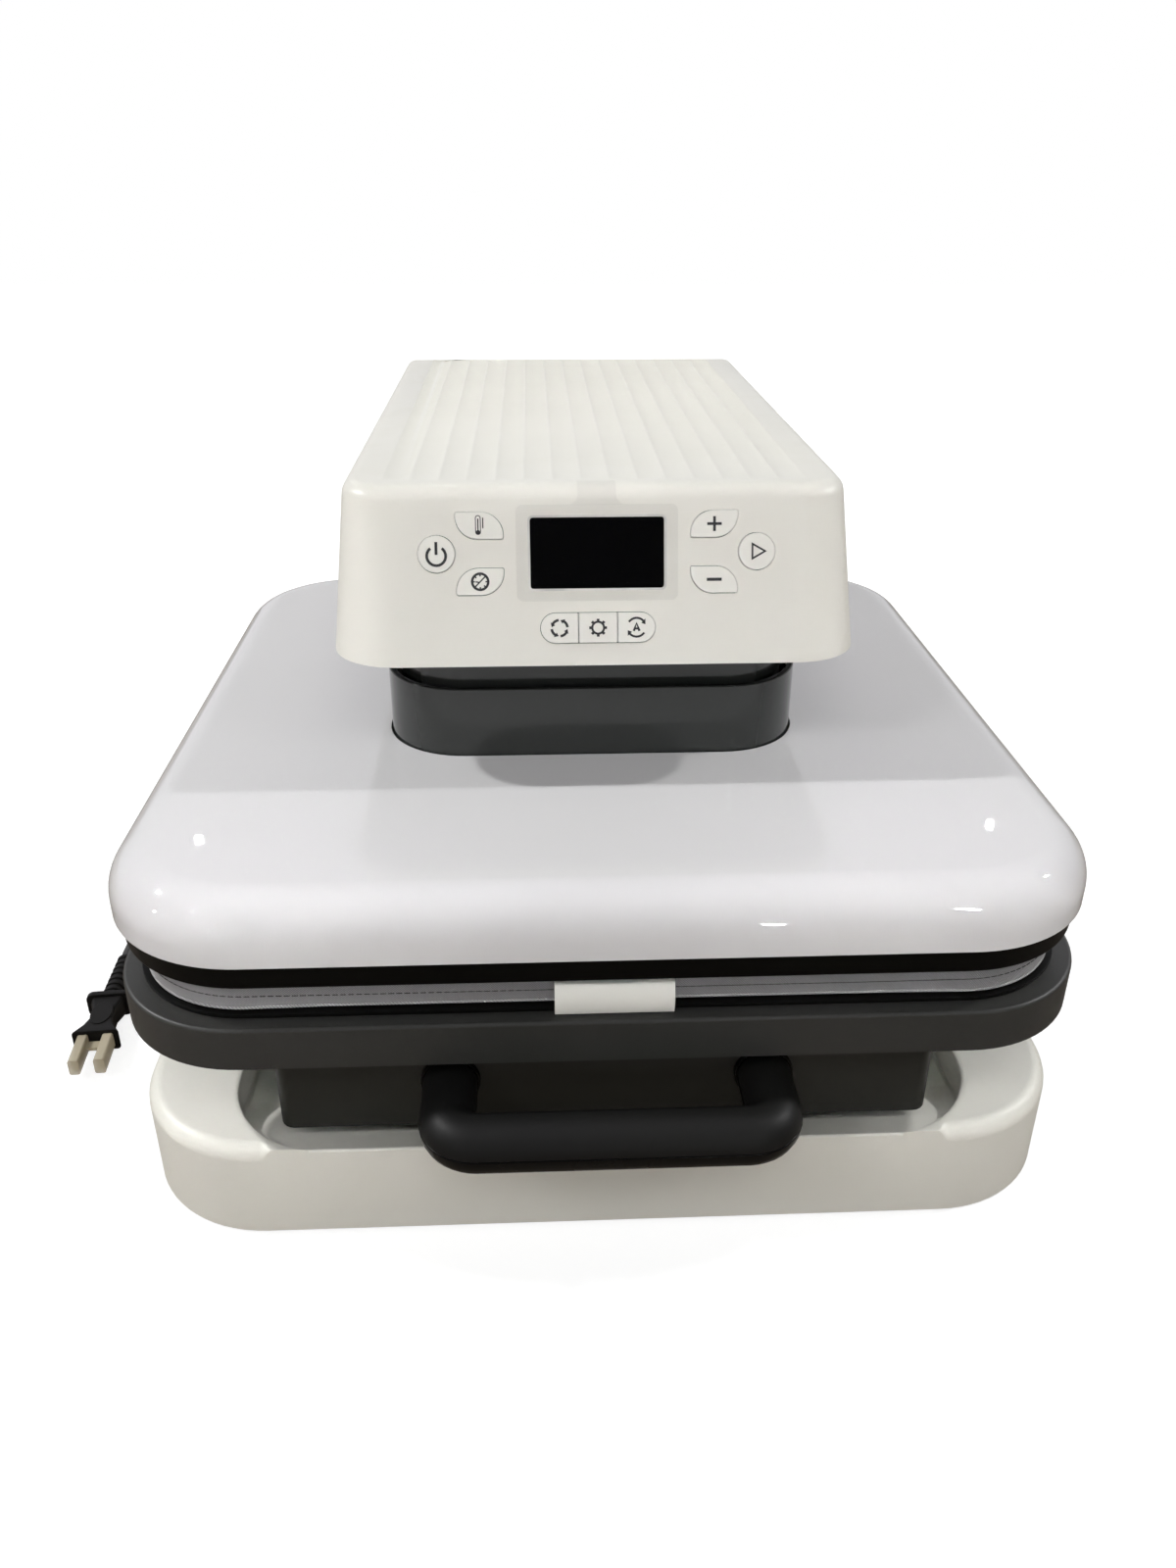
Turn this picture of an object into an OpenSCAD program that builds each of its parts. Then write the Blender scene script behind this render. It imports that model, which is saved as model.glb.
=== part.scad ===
// Auto-open heat press: drawer platen, lifting heat plate, control head and mains lead.
// Millimetres, +Z up, the front faces -Y. The origin is on the table, below the middle of the machine.
// Pieces are placed from the centre of the heat plate, which lies plate_y from the origin.

/* [Base] */
// Width of the base
base_w = 420; // [410:1:440]
// Front of the base, ahead of the plate's centre
base_front = 209; // [205:1:220]
// Rear of the base, behind the plate's centre
base_rear = 287.5; // [284:0.5:320]
// Height of the base from its lower edge to its shoulders
base_h = 47.2; // [44:0.1:60]
// Plan radius of the base's corners
base_corner = 60; // [40:1:66]
// Rounding of the base's top edge
base_round = 7; // [3:0.5:9]
// Height of the rubber feet below the base
foot_h = 1.5; // [1:0.5:4]
// Radius of a rubber foot
foot_r = 14; // [8:1:18]
// Thickness of the steel base plate
base_plate_t = 3; // [2:0.5:4]
// Width of the shoulder at each side of the drawer bay
shoulder_w = 44; // [40:1:50]
// Plan radius of the bay's corners
bay_corner = 47; // [30:1:60]
// Rear of the bay, behind the plate's centre
bay_rear = 205; // [200:1:208]
// Height of the bay's floor above the lower edge of the base
bay_floor = 28.5; // [26:0.1:34]
// Drop of the front lip below the shoulders
lip_drop = 3.2; // [1:0.1:6]
// Length of the ramp from the lip down to the bay's floor
ramp_len = 44; // [30:1:50]
// Wall of the moulded shells
shell_wall = 3; // [2:0.1:3.5]

/* [Platen drawer] */
// Side of the square platen
platen_size = 419; // [412:1:430]
// Plan radius of the platen's corners
platen_corner = 58; // [45:1:70]
// Depth of the platen's skirt
platen_t = 20; // [16:0.5:26]
// Thickness of the platen's top
platen_top_t = 5; // [4:0.5:6]
// Rounding of the platen's upper edge
platen_round = 2; // [1:0.5:3]
// Thickness of the steel plate in the platen
platen_plate_t = 4; // [3:0.5:6]
// Clearance between the carriage box and each side of the bay
carriage_side = 24; // [16:1:31]
// Setback of the carriage box behind the platen's front edge
carriage_setback = 13; // [10:0.5:20]
// Height of the carriage box below the platen
carriage_h = 44.7; // [40:0.1:60]
// Clearance of the carriage box above the bay's lip
carriage_clear = 3; // [2:0.5:6]
// Distance of each slide rail from the middle
rail_x = 100; // [90:1:120]
// Width and height of the bar on a slide rail
rail_bar = 12; // [10:1:16]
// Running clearance of the slide runners
slide_clear = 0.4; // [0.3:0.05:0.8]
// Outer width of the handle
handle_w = 154; // [130:1:180]
// Diameter of the handle's bar
handle_d = 22; // [18:1:26]
// Reach of the handle's bar axis ahead of the carriage box
handle_reach = 40; // [34:1:50]
// Radius of the handle's bends, along the bar's axis
handle_bend = 20; // [14:1:24]
// Depth of the handle's parting line below the bar's axis
handle_part = 7; // [4:0.5:8]
// Thickness of the collar at each handle post
collar_t = 3; // [2:0.5:5]

/* [Pad] */
// Side of the square pad
pad_size = 400; // [385:1:406]
// Plan radius of the pad's corners
pad_corner = 52; // [40:1:60]
// Thickness of the black base under the pad
pad_base_t = 5.6; // [4:0.2:8]
// Thickness of the pad at its crown
pad_t = 12.2; // [10:0.2:16]
// Width of the sewn tag
tag_w = 49; // [30:1:60]
// Thickness of the folded tag
tag_t = 0.9; // [0.6:0.1:1.2]

/* [Press] */
// Gap between the heat plate and the pad's crown when closed
press_gap = 0.5; // [0.3:0.1:1]
// Distance of the heat plate's edge inside the cover's, which leaves a plate of 15 inches
plate_margin = 19.5; // [14:0.5:22]
// Thickness of the heat plate
plate_t = 12; // [10:0.5:14]
// Drop of the heat plate below the black trim
plate_drop = 1.6; // [0.5:0.1:4]
// Side of the square press cover
cover_size = 420; // [414:1:430]
// Plan radius of the cover's corners
cover_corner = 64; // [56:1:74]
// Height of the cover from its lower edge to its crown
cover_h = 27.2; // [25:0.1:36]
// Rounding of the cover's top edge
cover_round = 20; // [12:0.5:24]
// Inset of the black trim from the cover's edge
trim_inset = 3; // [2:0.1:3.5]
// Width of the neck
neck_w = 199; // [190:1:206]
// Depth of the neck
neck_d = 158; // [150:1:170]
// Plan radius of the neck's corners
neck_corner = 38; // [30:1:45]
// Height of the neck above the cover
neck_h = 33.7; // [30:0.1:40]
// Gap all round between the neck and the fixed sleeve inside it
sleeve_gap = 3.5; // [2:0.1:5]
// Rise of the press when it opens
lift = 18; // [10:0.5:20]
// Room left above the neck when the press is open
lift_clear = 1.8; // [1:0.1:5]
// Diameter of the guide rods
rod_d = 12; // [10:1:14]
// Diameter of the drive screw
screw_d = 14; // [12:1:16]
// Radial running clearance of rods and screw
run_clear = 0.05; // [0.02:0.01:0.1]

/* [Head] */
// Width of the head at its lower edge
head_w = 238.6; // [230:0.2:250]
// Front of the head at its lower edge, ahead of the plate's centre
head_front = 100; // [98:1:112]
// Height of the head
head_h = 73.3; // [72:0.1:90]
// Backward lean of the control panel
head_lean = 18.9; // [15:0.1:20]
// Inward lean of the head's sides
head_taper = 5.4; // [2:0.1:6]
// Plan radius of the head's front corners at its lower edge
head_corner = 30; // [26:1:36]
// Rounding of the head's top edge
head_round = 6; // [4:0.5:8]
// Thickness of the head's ribbed top
head_top_t = 4.5; // [4:0.1:6]
// Number of ribs along the head's top
rib_count = 17; // [9:1:21]
// Pitch of the ribs
rib_pitch = 12; // [10:0.5:12]
// Depth of the ribs
rib_depth = 2; // [1:0.1:2.5]
// Width of the rear column
column_w = 224; // [210:1:226]
// Depth of the rear column
column_d = 62; // [58:1:64]
// Plan radius of the column's corners
column_corner = 22; // [15:1:28]

/* [Controls] */
// Height of the control row's middle above the head's lower edge, along the panel
panel_mid = 49; // [46:0.5:52]
// Width of the display window
display_w = 58.6; // [50:0.2:62]
// Height of the display window
display_h = 30.6; // [24:0.2:34]
// Width of the protective film
film_w = 70.8; // [64:0.2:74]
// Height of the protective film
film_h = 41.5; // [38:0.1:43]
// Radius of the round keys
round_key_r = 8; // [6:0.1:9]
// Distance of the round keys from the middle
round_key_x = 70.1; // [68:0.1:76]
// Width of a leaf key
leaf_w = 20.6; // [16:0.2:21]
// Height of a leaf key
leaf_h = 11.6; // [9:0.2:14]
// Distance of the leaf keys from the middle
leaf_x = 51.3; // [50:0.1:52]
// Distance of the leaf keys above and below the control row
leaf_y = 12; // [11:0.5:14]
// Width of the row of three keys
row_w = 50.4; // [44:0.2:58]
// Height of the row of three keys
row_h = 13.1; // [10:0.1:14]
// Height of the row of three keys above the head's lower edge, along the panel
row_y = 16.5; // [14:0.5:18]
// Clearance around a key
key_gap = 0.3; // [0.2:0.05:0.5]
// Height of a key above the panel
key_proud = 1; // [0.5:0.1:1.5]
// Travel of a key
key_travel = 1; // [0.5:0.1:1.2]

/* [Mains lead] */
// Diameter of the lead
cord_d = 6.5; // [5:0.5:7]
// Outer radius of the coil, along the lead's axis
coil_r = 48; // [44:1:60]
// Turns in each of the coil's two layers
coil_turns = 2; // [1:1:3]
// Radial step of the coil from turn to turn
coil_step = 8.2; // [8:0.1:10]
// Rise from the lower layer to the upper
coil_rise = 7.2; // [7.2:0.1:8]
// Width of the plug's body
plug_w = 25; // [22:0.5:28]
// Thickness of the plug's body
plug_t = 16; // [14:0.5:18]
// Spacing of the plug's blades
blade_pitch = 12.7; // [12:0.1:13]

/* [Hidden] */
$fn = 64;

// Overlap that keeps a cut or a join clean
eps = 0.01;
// Overshoot of a through cut
over = 10;
// Gap of a piece that is slipped into a shell
slip = 0.2;

// Heights, from the table upwards
base_top = foot_h + base_h;
base_floor = foot_h + base_plate_t;
bay_z = foot_h + bay_floor;
lip_z = base_top - lip_drop;
carriage_z = lip_z + carriage_clear;
platen_z = carriage_z + carriage_h;
platen_top = platen_z + platen_t;
platen_plate_z = platen_top - platen_top_t - platen_plate_t;
pad_z = platen_top + pad_base_t;
plate_z = pad_z + pad_t + press_gap;
plate_top = plate_z + plate_t;
trim_z = plate_z + plate_drop;
cover_top = plate_top + cover_h;
neck_top = cover_top + neck_h;
sleeve_z = cover_top + lift + lift_clear;
head_z = neck_top + lift + lift_clear;
head_top = head_z + head_h;

// Plan positions, from the plate's centre
base_d = base_front + base_rear;
base_mid = (base_rear - base_front) / 2;
bay_break = 0.6;
bay_w = base_w - 2 * shoulder_w;
bay_d = base_front + bay_break + bay_rear;
bay_mid = (bay_rear - base_front - bay_break) / 2;
platen_half = platen_size / 2;
carriage_w = bay_w - 2 * carriage_side;
carriage_front = platen_half - carriage_setback;
handle_y = carriage_front + handle_reach;
handle_lift = 25.5;
handle_z = carriage_z + handle_lift;
handle_r = handle_d / 2;
post_x = handle_w / 2 - handle_r;
plate_y = (handle_y + handle_r - base_rear) / 2;
column_inset = 8;
column_rear = base_rear - column_inset;
column_mid = column_rear - column_d / 2;
sleeve_w = neck_w - 2 * shell_wall - 2 * sleeve_gap;
sleeve_d = neck_d - 2 * shell_wall - 2 * sleeve_gap;
sleeve_corner = neck_corner - shell_wall - sleeve_gap;
sleeve_wall = 2;
throat_inset = 5;
throat_w = sleeve_w - 2 * throat_inset;
throat_d = sleeve_d - 2 * throat_inset;
throat_corner = sleeve_corner - throat_inset;

// Steel frame: two cheeks, a plate between them in the head and one behind them in the column
cheek_x = 78;
cheek_t = 6;
leg_front = 130;
leg_clear = 1;
steel_front_gap = 9;
steel_rear_gap = 3;
column_steel_front = column_rear - column_d + shell_wall + steel_front_gap;
column_steel_rear = column_rear - shell_wall - steel_rear_gap;
arm_front = 62;
arm_lift = 7.8;
arm_z = head_z + arm_lift;
arm_t = 8;
arm_h = 30;
arm_top = arm_z + arm_t;

// Lifting gear
rod_at = [55, 45];
rod_r = rod_d / 2;
bush_wall = 5;
bush_r = rod_r + bush_wall;
bush_drop = 4;
bush_len = 30;
screw_r = screw_d / 2;
bearing_wall = 4;
bearing_r = screw_r + bearing_wall;
yoke_lift = 1.3;
yoke_z = cover_top + yoke_lift;
yoke_t = 8;
yoke_top = yoke_z + yoke_t;
yoke_size = [150, 120];
leg_at = [60, 48];
leg_r = 8;
nut_flange = [18, 5];
nut_r = 12;
nut_len = 18;
rod_short = 2;
rod_top = arm_top + bush_len - rod_short;
coupler_wall = 3;
coupler_r = screw_r + coupler_wall;
coupler_len = 24;
coupler_lift = 2;
gearbox_size = [76, 68, 44];
coupler_gap = 1;
gearbox_bore = coupler_r + coupler_gap;
bore_spare = 2;
screw_tip = 4;
yoke_bore_gap = 3;
motor_r = 20;
motor_len = 90;
motor_lift = 22;
mains_board = [44, 110];
mains_board_gap = 4;
mains_board_y = 100;
stand_h = 6;
stand_r = 3;
stand_in = 5;
transformer = [28, 34, 22];
transformer_at = [8, 20];
capacitor_y = [70, 90];
capacitor_r = 8;
capacitor_h = 24;

// Heater
plate_size = cover_size - 2 * plate_margin;
element_w = 8;
element_t = 5;
element_margin = 40.5;
element_passes = 6;
element_pitch = (plate_size - 2 * element_margin) / (element_passes - 1);
element_edge = 70.5;
element_half = plate_size / 2 - element_edge;
insulation_inset = 25.5;
insulation_size = plate_size - 2 * insulation_inset;
insulation_t = 6;
insulation_corner = 20;
plate_corner = 30;
thermostat_r = 8;
leg_gap = 0.5;
trim_wall = 4;

// Slides
rail_front_gap = 2;
rail_rear_gap = 18;
rail_front = -base_front + ramp_len + rail_front_gap;
rail_rear = bay_rear - rail_rear_gap;
rail_len = rail_rear - rail_front;
rail_web = 4;
rail_foot = [24, 3];
runner_wall = 3;
runner_inner = rail_bar + 2 * slide_clear;
runner_lip = (runner_inner - rail_web) / 2 - 2 * slide_clear;
rail_drop = 1.5;
rail_bar_z = platen_z - rail_drop - rail_bar;
runner_z = rail_bar_z - slide_clear - runner_wall;

// Fasteners
screw_hole = 2;
screw_head = [4, 1];
screw_len = 15;
boss_r = 5;
base_screw_in = 25;
base_screw_front = 89;
base_screw_mid = 60;
base_screw_rear = 62.5;
base_screw_at = [for (x = [-1, 1], y = [base_screw_front - base_front, base_screw_mid,
  base_rear - base_screw_rear]) [x * (base_w / 2 - base_screw_in), y]];
foot_in = 60;
foot_front = 69;
foot_rear = 57.5;
foot_at = [for (x = [-1, 1], y = [foot_front - base_front, base_rear - foot_rear])
  [x * (base_w / 2 - foot_in), y]];
foot_plug_r = 4;
handle_screw_r = 3;
handle_screw_head = [5.5, 3];
handle_screw_len = 20;

// Control panel: depths are measured inwards from the panel's face
key_flange = 1.2;
key_flange_t = 1.5;
key_back = shell_wall + key_gap + key_flange_t;
switch_clear = 0.2;
switch_top = key_back + key_travel + switch_clear;
switch_size = [6, 6, 2.2];
board_face = switch_top + switch_size[2];
board_t = 1.6;
board_w = 156;
board_h = 64;
board_y = 39.5;
boss_at = [for (x = [-74, 74], y = [11, 68]) [x, y]];
window_t = 2.5;
lcd_margin = 3;
film_t = 0.25;
film_lift = 0.02;
tab_w = 22;
tab_h = 5;
row_split = 17.2;
leaf_round = 0.85;
board_boss_r = 3;
film_corner = 3;
lcd_border = 1;
underside_gap = 1;

// Head: half width and front face at a height above its lower edge
function head_half(h) = head_w / 2 - h * tan(head_taper);
function head_face(h) = -head_front + h * tan(head_lean);
head_top_corner = 22;
rib_start = 15;
// Where a rib's valley and its far edge lie, as shares of the pitch
rib_valley = 0.3;
rib_end = 0.9;

// Mains lead: points chosen along the table, in the machine's own frame
cord_r = cord_d / 2;
cord_sides = 10;
coil_sides = 6;
gland_at = [-90, 20];
gland_len = 13.5;
gland_r = 6;
lead_route = [[-90, 281, 20], [-90, 288, 20], [-90, 300, 16.5], [-90, 313, 9], [-90, 324, 4.5],
  [-90, 332, 3.3], [-90, 338.5, 3.3]];
coil_at = [-138, 345, 3.3];
tail_route = [[-186, 338.5, 10.5], [-186, 332, 10.5], [-187, 320, 9], [-194, 302, 5.5], [-207, 280, 3.6],
  [-223, 254, 3.3], [-238, 222, 3.3], [-251, 184, 3.3], [-260, 142, 3.3], [-266, 98, 3.3],
  [-269, 56, 3.3], [-270, 20, 4], [-269.5, -6, 7], [-268.5, -23, 8.5], [-268, -30, 8.5]];
plug_at = tail_route[len(tail_route) - 1];
plug_lead = tail_route[len(tail_route) - 2];
plug_turn = atan2(plug_at[0] - plug_lead[0], plug_lead[1] - plug_at[1]);
relief_len = 26;
relief_r = 4.8;
relief_ribs = 5;
relief_rib = 0.8;
plug_corner = 4;
plug_step = 3;
plug_flange_t = 3;
plug_len = 44;
blade_len = 18;
blade_size = [1.5, 6.3];
sleeve_wall_t = 1.2;
sleeve_len = 21;

// Places a piece that is laid out from the centre of the heat plate
module at_plate() translate([0, plate_y, 0]) children();

// Rectangle with rounded corners, centred
module rounded_plan(w, d, r) {
  square([w, d - 2 * r], center = true);
  square([w - 2 * r, d], center = true);
  for (x = [-1, 1], y = [-1, 1])
    translate([x * (w / 2 - r), y * (d / 2 - r)])
      circle(r);
}

// Upright tube with a rounded rectangular plan
module plan_tube(w, d, r, wall, h) {
  linear_extrude(h)
    difference() {
      rounded_plan(w, d, r);
      rounded_plan(w - 2 * wall, d - 2 * wall, r - wall);
    }
}

// Section of a wall of height h that turns over into a flat top with a round of radius f
module round_section(reach, h, f) {
  square([reach, h - f]);
  square([reach - f, h]);
  translate([reach - f, h - f])
    intersection() {
      circle(f);
      square(f);
    }
}

// Block with rounded corners in plan and a rounded top edge, made of corner and edge pieces
module soft_block(w, d, r, h, f) {
  translate([-w / 2 + r, -d / 2 + r, 0])
    cube([w - 2 * r, d - 2 * r, h]);
  for (x = [0, 1], y = [0, 1])
    mirror([x, 0, 0])
      mirror([0, y, 0])
        translate([w / 2 - r, d / 2 - r, 0])
          rotate_extrude(angle = 90)
            round_section(r, h, f);
  for (side = [0, 1]) {
    mirror([side, 0, 0])
      translate([w / 2 - r, d / 2 - r, 0])
        rotate([90, 0, 0])
          linear_extrude(d - 2 * r)
            round_section(r, h, f);
    mirror([0, side, 0])
      translate([-w / 2 + r, d / 2 - r, 0])
        rotate([90, 0, 90])
          linear_extrude(w - 2 * r)
            round_section(r, h, f);
  }
}

// Extrudes an outline drawn in Y and Z across the machine, centred on X
module across(w) {
  translate([-w / 2, 0, 0])
    rotate([90, 0, 90])
      linear_extrude(w)
        children();
}

// Places a piece on the control panel: x across, y up the panel from its lower edge, z outwards
module on_panel(x = 0, y = 0, depth = 0) {
  at_plate()
    translate([0, -head_front, head_z])
      rotate([90 - head_lean, 0, 0])
        translate([x, y, -depth])
          children();
}

// Base

module base_outer() {
  translate([0, base_mid, foot_h])
    soft_block(base_w, base_d, base_corner, base_h, base_round);
}

module base_cavity() {
  translate([0, base_mid, foot_h - eps])
    linear_extrude(base_h - shell_wall + eps)
      rounded_plan(base_w - 2 * shell_wall, base_d - 2 * shell_wall, base_corner - shell_wall);
}

// Drawer bay, its floor ramping up to the front lip, grown by the wall for the tub around it
module bay_space(grow) {
  ramp_end = -base_front + ramp_len;
  slope = (lip_z - bay_z) / ramp_len;
  intersection() {
    translate([0, bay_mid, 0])
      linear_extrude(base_top + over)
        rounded_plan(bay_w + 2 * grow, bay_d + 2 * grow, bay_corner + grow);
    across(bay_w + 2 * over)
      polygon([[-base_front - over, lip_z + over * slope - grow], [ramp_end, bay_z - grow],
        [bay_rear + over, bay_z - grow], [bay_rear + over, base_top + over],
        [-base_front - over, base_top + over]]);
  }
}

module column_hole() {
  translate([0, column_mid, 0])
    linear_extrude(head_top)
      rounded_plan(column_w - 2 * shell_wall, column_d - 2 * shell_wall, column_corner - shell_wall);
}

module base_shell() {
  color([0.87, 0.86, 0.82])
    at_plate()
      difference() {
        union() {
          difference() {
            base_outer();
            base_cavity();
          }
          intersection() {
            base_outer();
            bay_space(shell_wall);
          }
          for (p = base_screw_at)
            translate([p[0], p[1], base_floor])
              cylinder(r = boss_r, h = base_top - base_floor - shell_wall + eps);
        }
        bay_space(0);
        column_hole();
        for (p = base_screw_at)
          translate([p[0], p[1], base_floor - eps])
            cylinder(r = screw_hole, h = screw_len);
        translate([gland_at[0], base_rear + over, gland_at[1]])
          rotate([90, 0, 0])
            cylinder(r = gland_r, h = shell_wall + 2 * over);
      }
}

module base_plate() {
  edge = shell_wall + slip;
  color([0.35, 0.36, 0.37])
    at_plate()
      difference() {
        translate([0, base_mid, foot_h])
          linear_extrude(base_plate_t)
            rounded_plan(base_w - 2 * edge, base_d - 2 * edge, base_corner - edge);
        for (p = base_screw_at)
          translate([p[0], p[1], 0])
            cylinder(r = screw_hole + slip, h = base_floor + over);
        for (p = foot_at)
          translate([p[0], p[1], 0])
            cylinder(r = foot_plug_r, h = base_floor + over);
      }
}

module rubber_feet() {
  color([0.1, 0.1, 0.1])
    at_plate()
      for (p = foot_at)
        translate([p[0], p[1], 0]) {
          cylinder(r = foot_r, h = foot_h);
          cylinder(r = foot_plug_r, h = base_floor);
        }
}

module base_screws() {
  color([0.6, 0.6, 0.6])
    at_plate()
      for (p = base_screw_at)
        translate([p[0], p[1], foot_h]) {
          translate([0, 0, -screw_head[1]])
            cylinder(r = screw_head[0], h = screw_head[1]);
          cylinder(r = screw_hole, h = screw_len);
        }
}

module c_frame() {
  leg_top = bay_z - shell_wall - leg_clear;
  cheek_top = arm_z + arm_h;
  back_t = cheek_t;
  color([0.3, 0.31, 0.32])
    at_plate() {
      for (x = [-1, 1])
        translate([x * (cheek_x + cheek_t / 2), 0, 0])
          across(cheek_t)
            polygon([[-leg_front, base_floor], [column_steel_rear, base_floor],
              [column_steel_rear, cheek_top], [-arm_front, cheek_top], [-arm_front, arm_z],
              [column_steel_front, arm_z], [column_steel_front, leg_top], [-leg_front, leg_top]]);
      difference() {
        translate([-cheek_x - eps, -arm_front, arm_z])
          cube([2 * cheek_x + 2 * eps, arm_front + column_steel_rear, arm_t]);
        for (x = [-1, 1], y = [-1, 1])
          translate([x * rod_at[0], y * rod_at[1], arm_z - over])
            cylinder(r = bush_r, h = arm_t + 2 * over);
        translate([0, 0, arm_z - over])
          cylinder(r = bearing_r, h = arm_t + 2 * over);
      }
      translate([-cheek_x - eps, column_steel_rear - back_t, base_floor])
        cube([2 * cheek_x + 2 * eps, back_t, arm_z - base_floor + eps]);
    }
}

module column_cover() {
  color([0.87, 0.86, 0.82])
    at_plate()
      translate([0, column_mid, base_top])
        plan_tube(column_w, column_d, column_corner, shell_wall, head_z - base_top);
}

// Head

// One level of the head: four thin discs at its corners
module head_level(h, r, inset) {
  x = head_half(h) - inset - r;
  front = head_face(h) + inset + r;
  rear = base_rear - inset - r;
  for (side = [-1, 1], y = [front, rear])
    translate([side * x, y, head_z + h - eps])
      cylinder(r = r, h = eps, $fn = 32);
}

module head_outer() {
  hull() {
    translate([0, 0, eps])
      head_level(0, head_corner, 0);
    for (a = [0, 30, 60, 90])
      head_level(head_h - head_round * (1 - sin(a)), head_top_corner - head_round * (1 - cos(a)),
        head_round * (1 - cos(a)));
  }
}

module head_cavity() {
  front_wall = shell_wall / cos(head_lean);
  hull() {
    translate([0, front_wall - shell_wall, 0]) {
      head_level(-over, head_corner - shell_wall, shell_wall);
      head_level(head_h - head_top_t, head_top_corner - shell_wall, shell_wall);
    }
  }
}

module rib_grooves() {
  y0 = head_face(head_h) + rib_start;
  x0 = -(rib_count - 1) * rib_pitch / 2;
  for (i = [0 : rib_count - 1])
    translate([x0 + (i - 0.5) * rib_pitch, y0, head_top])
      rotate([-90, 0, 0])
        linear_extrude(base_rear - y0 + over)
          polygon([[0, -over], [rib_pitch * rib_end, -over], [rib_pitch * rib_end, 0],
            [rib_pitch * rib_valley, rib_depth], [0, 0]]);
}

module round_outline(grow) circle(round_key_r + grow);

// Rectangle with two opposite corners fully rounded
module leaf_outline(flip, grow) {
  w = leaf_w + 2 * grow;
  h = leaf_h + 2 * grow;
  r = leaf_h * leaf_round + grow;
  mirror([flip, 0])
    difference() {
      square([w, h], center = true);
      for (turn = [0, 180])
        rotate(turn)
          translate([w / 2 - r, h / 2 - r])
            difference() {
              square(r + eps);
              circle(r);
            }
    }
}

module row_outline(grow) rounded_plan(row_w + 2 * grow, row_h + 2 * grow, row_h / 2 + grow - eps);

// One of the three keys of the row: -1 left, 0 middle, 1 right
module row_key_outline(index, grow) {
  inner = row_split / 2 + key_gap / 2;
  from = index < 0 ? -row_w : index == 0 ? -row_split / 2 + key_gap / 2 : inner;
  to = index < 0 ? -inner : index == 0 ? row_split / 2 - key_gap / 2 : row_w;
  intersection() {
    row_outline(grow);
    translate([from, -row_h])
      square([to - from, 2 * row_h]);
  }
}

// Where the six free keys sit: [x, y, kind], kind 0 round, 1 and 2 leaf and its mirror image
free_keys = [[-round_key_x, panel_mid, 0], [round_key_x, panel_mid, 0],
  [-leaf_x, panel_mid + leaf_y, 1], [-leaf_x, panel_mid - leaf_y, 2],
  [leaf_x, panel_mid + leaf_y, 2], [leaf_x, panel_mid - leaf_y, 1]];
row_key_x = [-(row_w + row_split) / 4, 0, (row_w + row_split) / 4];

module free_key_outline(kind, grow) {
  if (kind == 0)
    round_outline(grow);
  else
    leaf_outline(kind - 1, grow);
}

module head_housing() {
  color([0.89, 0.88, 0.84]) {
    difference() {
      at_plate()
        difference() {
          head_outer();
          head_cavity();
          rib_grooves();
        }
      for (k = free_keys)
        on_panel(k[0], k[1], 2 * shell_wall)
          linear_extrude(3 * shell_wall)
            free_key_outline(k[2], key_gap);
      on_panel(0, row_y, 2 * shell_wall)
        linear_extrude(3 * shell_wall)
          row_outline(key_gap);
      on_panel(0, panel_mid, 2 * shell_wall)
        linear_extrude(3 * shell_wall)
          square([display_w, display_h], center = true);
    }
    for (p = boss_at)
      on_panel(p[0], p[1], board_face)
        cylinder(r = board_boss_r, h = board_face - shell_wall + eps);
  }
}

module head_underside() {
  side = shell_wall + 4 * slip;
  front = head_face(0) + side + underside_gap;
  rear = base_rear - side;
  color([0.2, 0.2, 0.2])
    at_plate()
      difference() {
        translate([0, (front + rear) / 2, head_z])
          linear_extrude(shell_wall)
            rounded_plan(head_w - 2 * side, rear - front, head_corner - side);
        translate([0, 0, head_z - over])
          linear_extrude(shell_wall + 2 * over)
            rounded_plan(throat_w, throat_d, throat_corner);
        column_hole();
      }
}

module upper_shroud() {
  color([0.16, 0.17, 0.17])
    at_plate()
      translate([0, 0, sleeve_z])
        plan_tube(sleeve_w, sleeve_d, sleeve_corner, sleeve_wall, head_z - sleeve_z);
}

module display_window() {
  color([0.02, 0.02, 0.02])
    on_panel(0, panel_mid, window_t)
      translate([-display_w / 2 + slip, -display_h / 2 + slip, 0])
        cube([display_w - 2 * slip, display_h - 2 * slip, window_t]);
}

module display_film() {
  color([0.82, 0.81, 0.77, 0.5])
    on_panel(0, panel_mid, -film_lift)
      linear_extrude(film_t) {
        rounded_plan(film_w, film_h, film_corner);
        translate([-tab_w / 2, film_h / 2 - eps])
          square([tab_w, tab_h]);
      }
}

module lcd_module() {
  color([0.15, 0.2, 0.15])
    on_panel(0, panel_mid, board_face)
      translate([-display_w / 2 - lcd_margin, -display_h / 2 - lcd_margin, 0]) {
        cube([display_w + 2 * lcd_margin, display_h + 2 * lcd_margin, board_face - shell_wall - slip]);
        translate([lcd_margin + lcd_border, lcd_margin + lcd_border, 0])
          cube([display_w - 2 * lcd_border, display_h - 2 * lcd_border, board_face - window_t]);
      }
}

module control_board() {
  color([0.1, 0.35, 0.2])
    on_panel(0, board_y, board_face + board_t)
      translate([-board_w / 2, -board_h / 2, 0])
        cube([board_w, board_h, board_t]);
}

module key_switches() {
  places = concat([for (k = free_keys) [k[0], k[1]]], [for (x = row_key_x) [x, row_y]]);
  color([0.15, 0.15, 0.15])
    for (p = places)
      on_panel(p[0], p[1], board_face)
        translate([-switch_size[0] / 2, -switch_size[1] / 2, 0])
          cube(switch_size);
}

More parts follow.
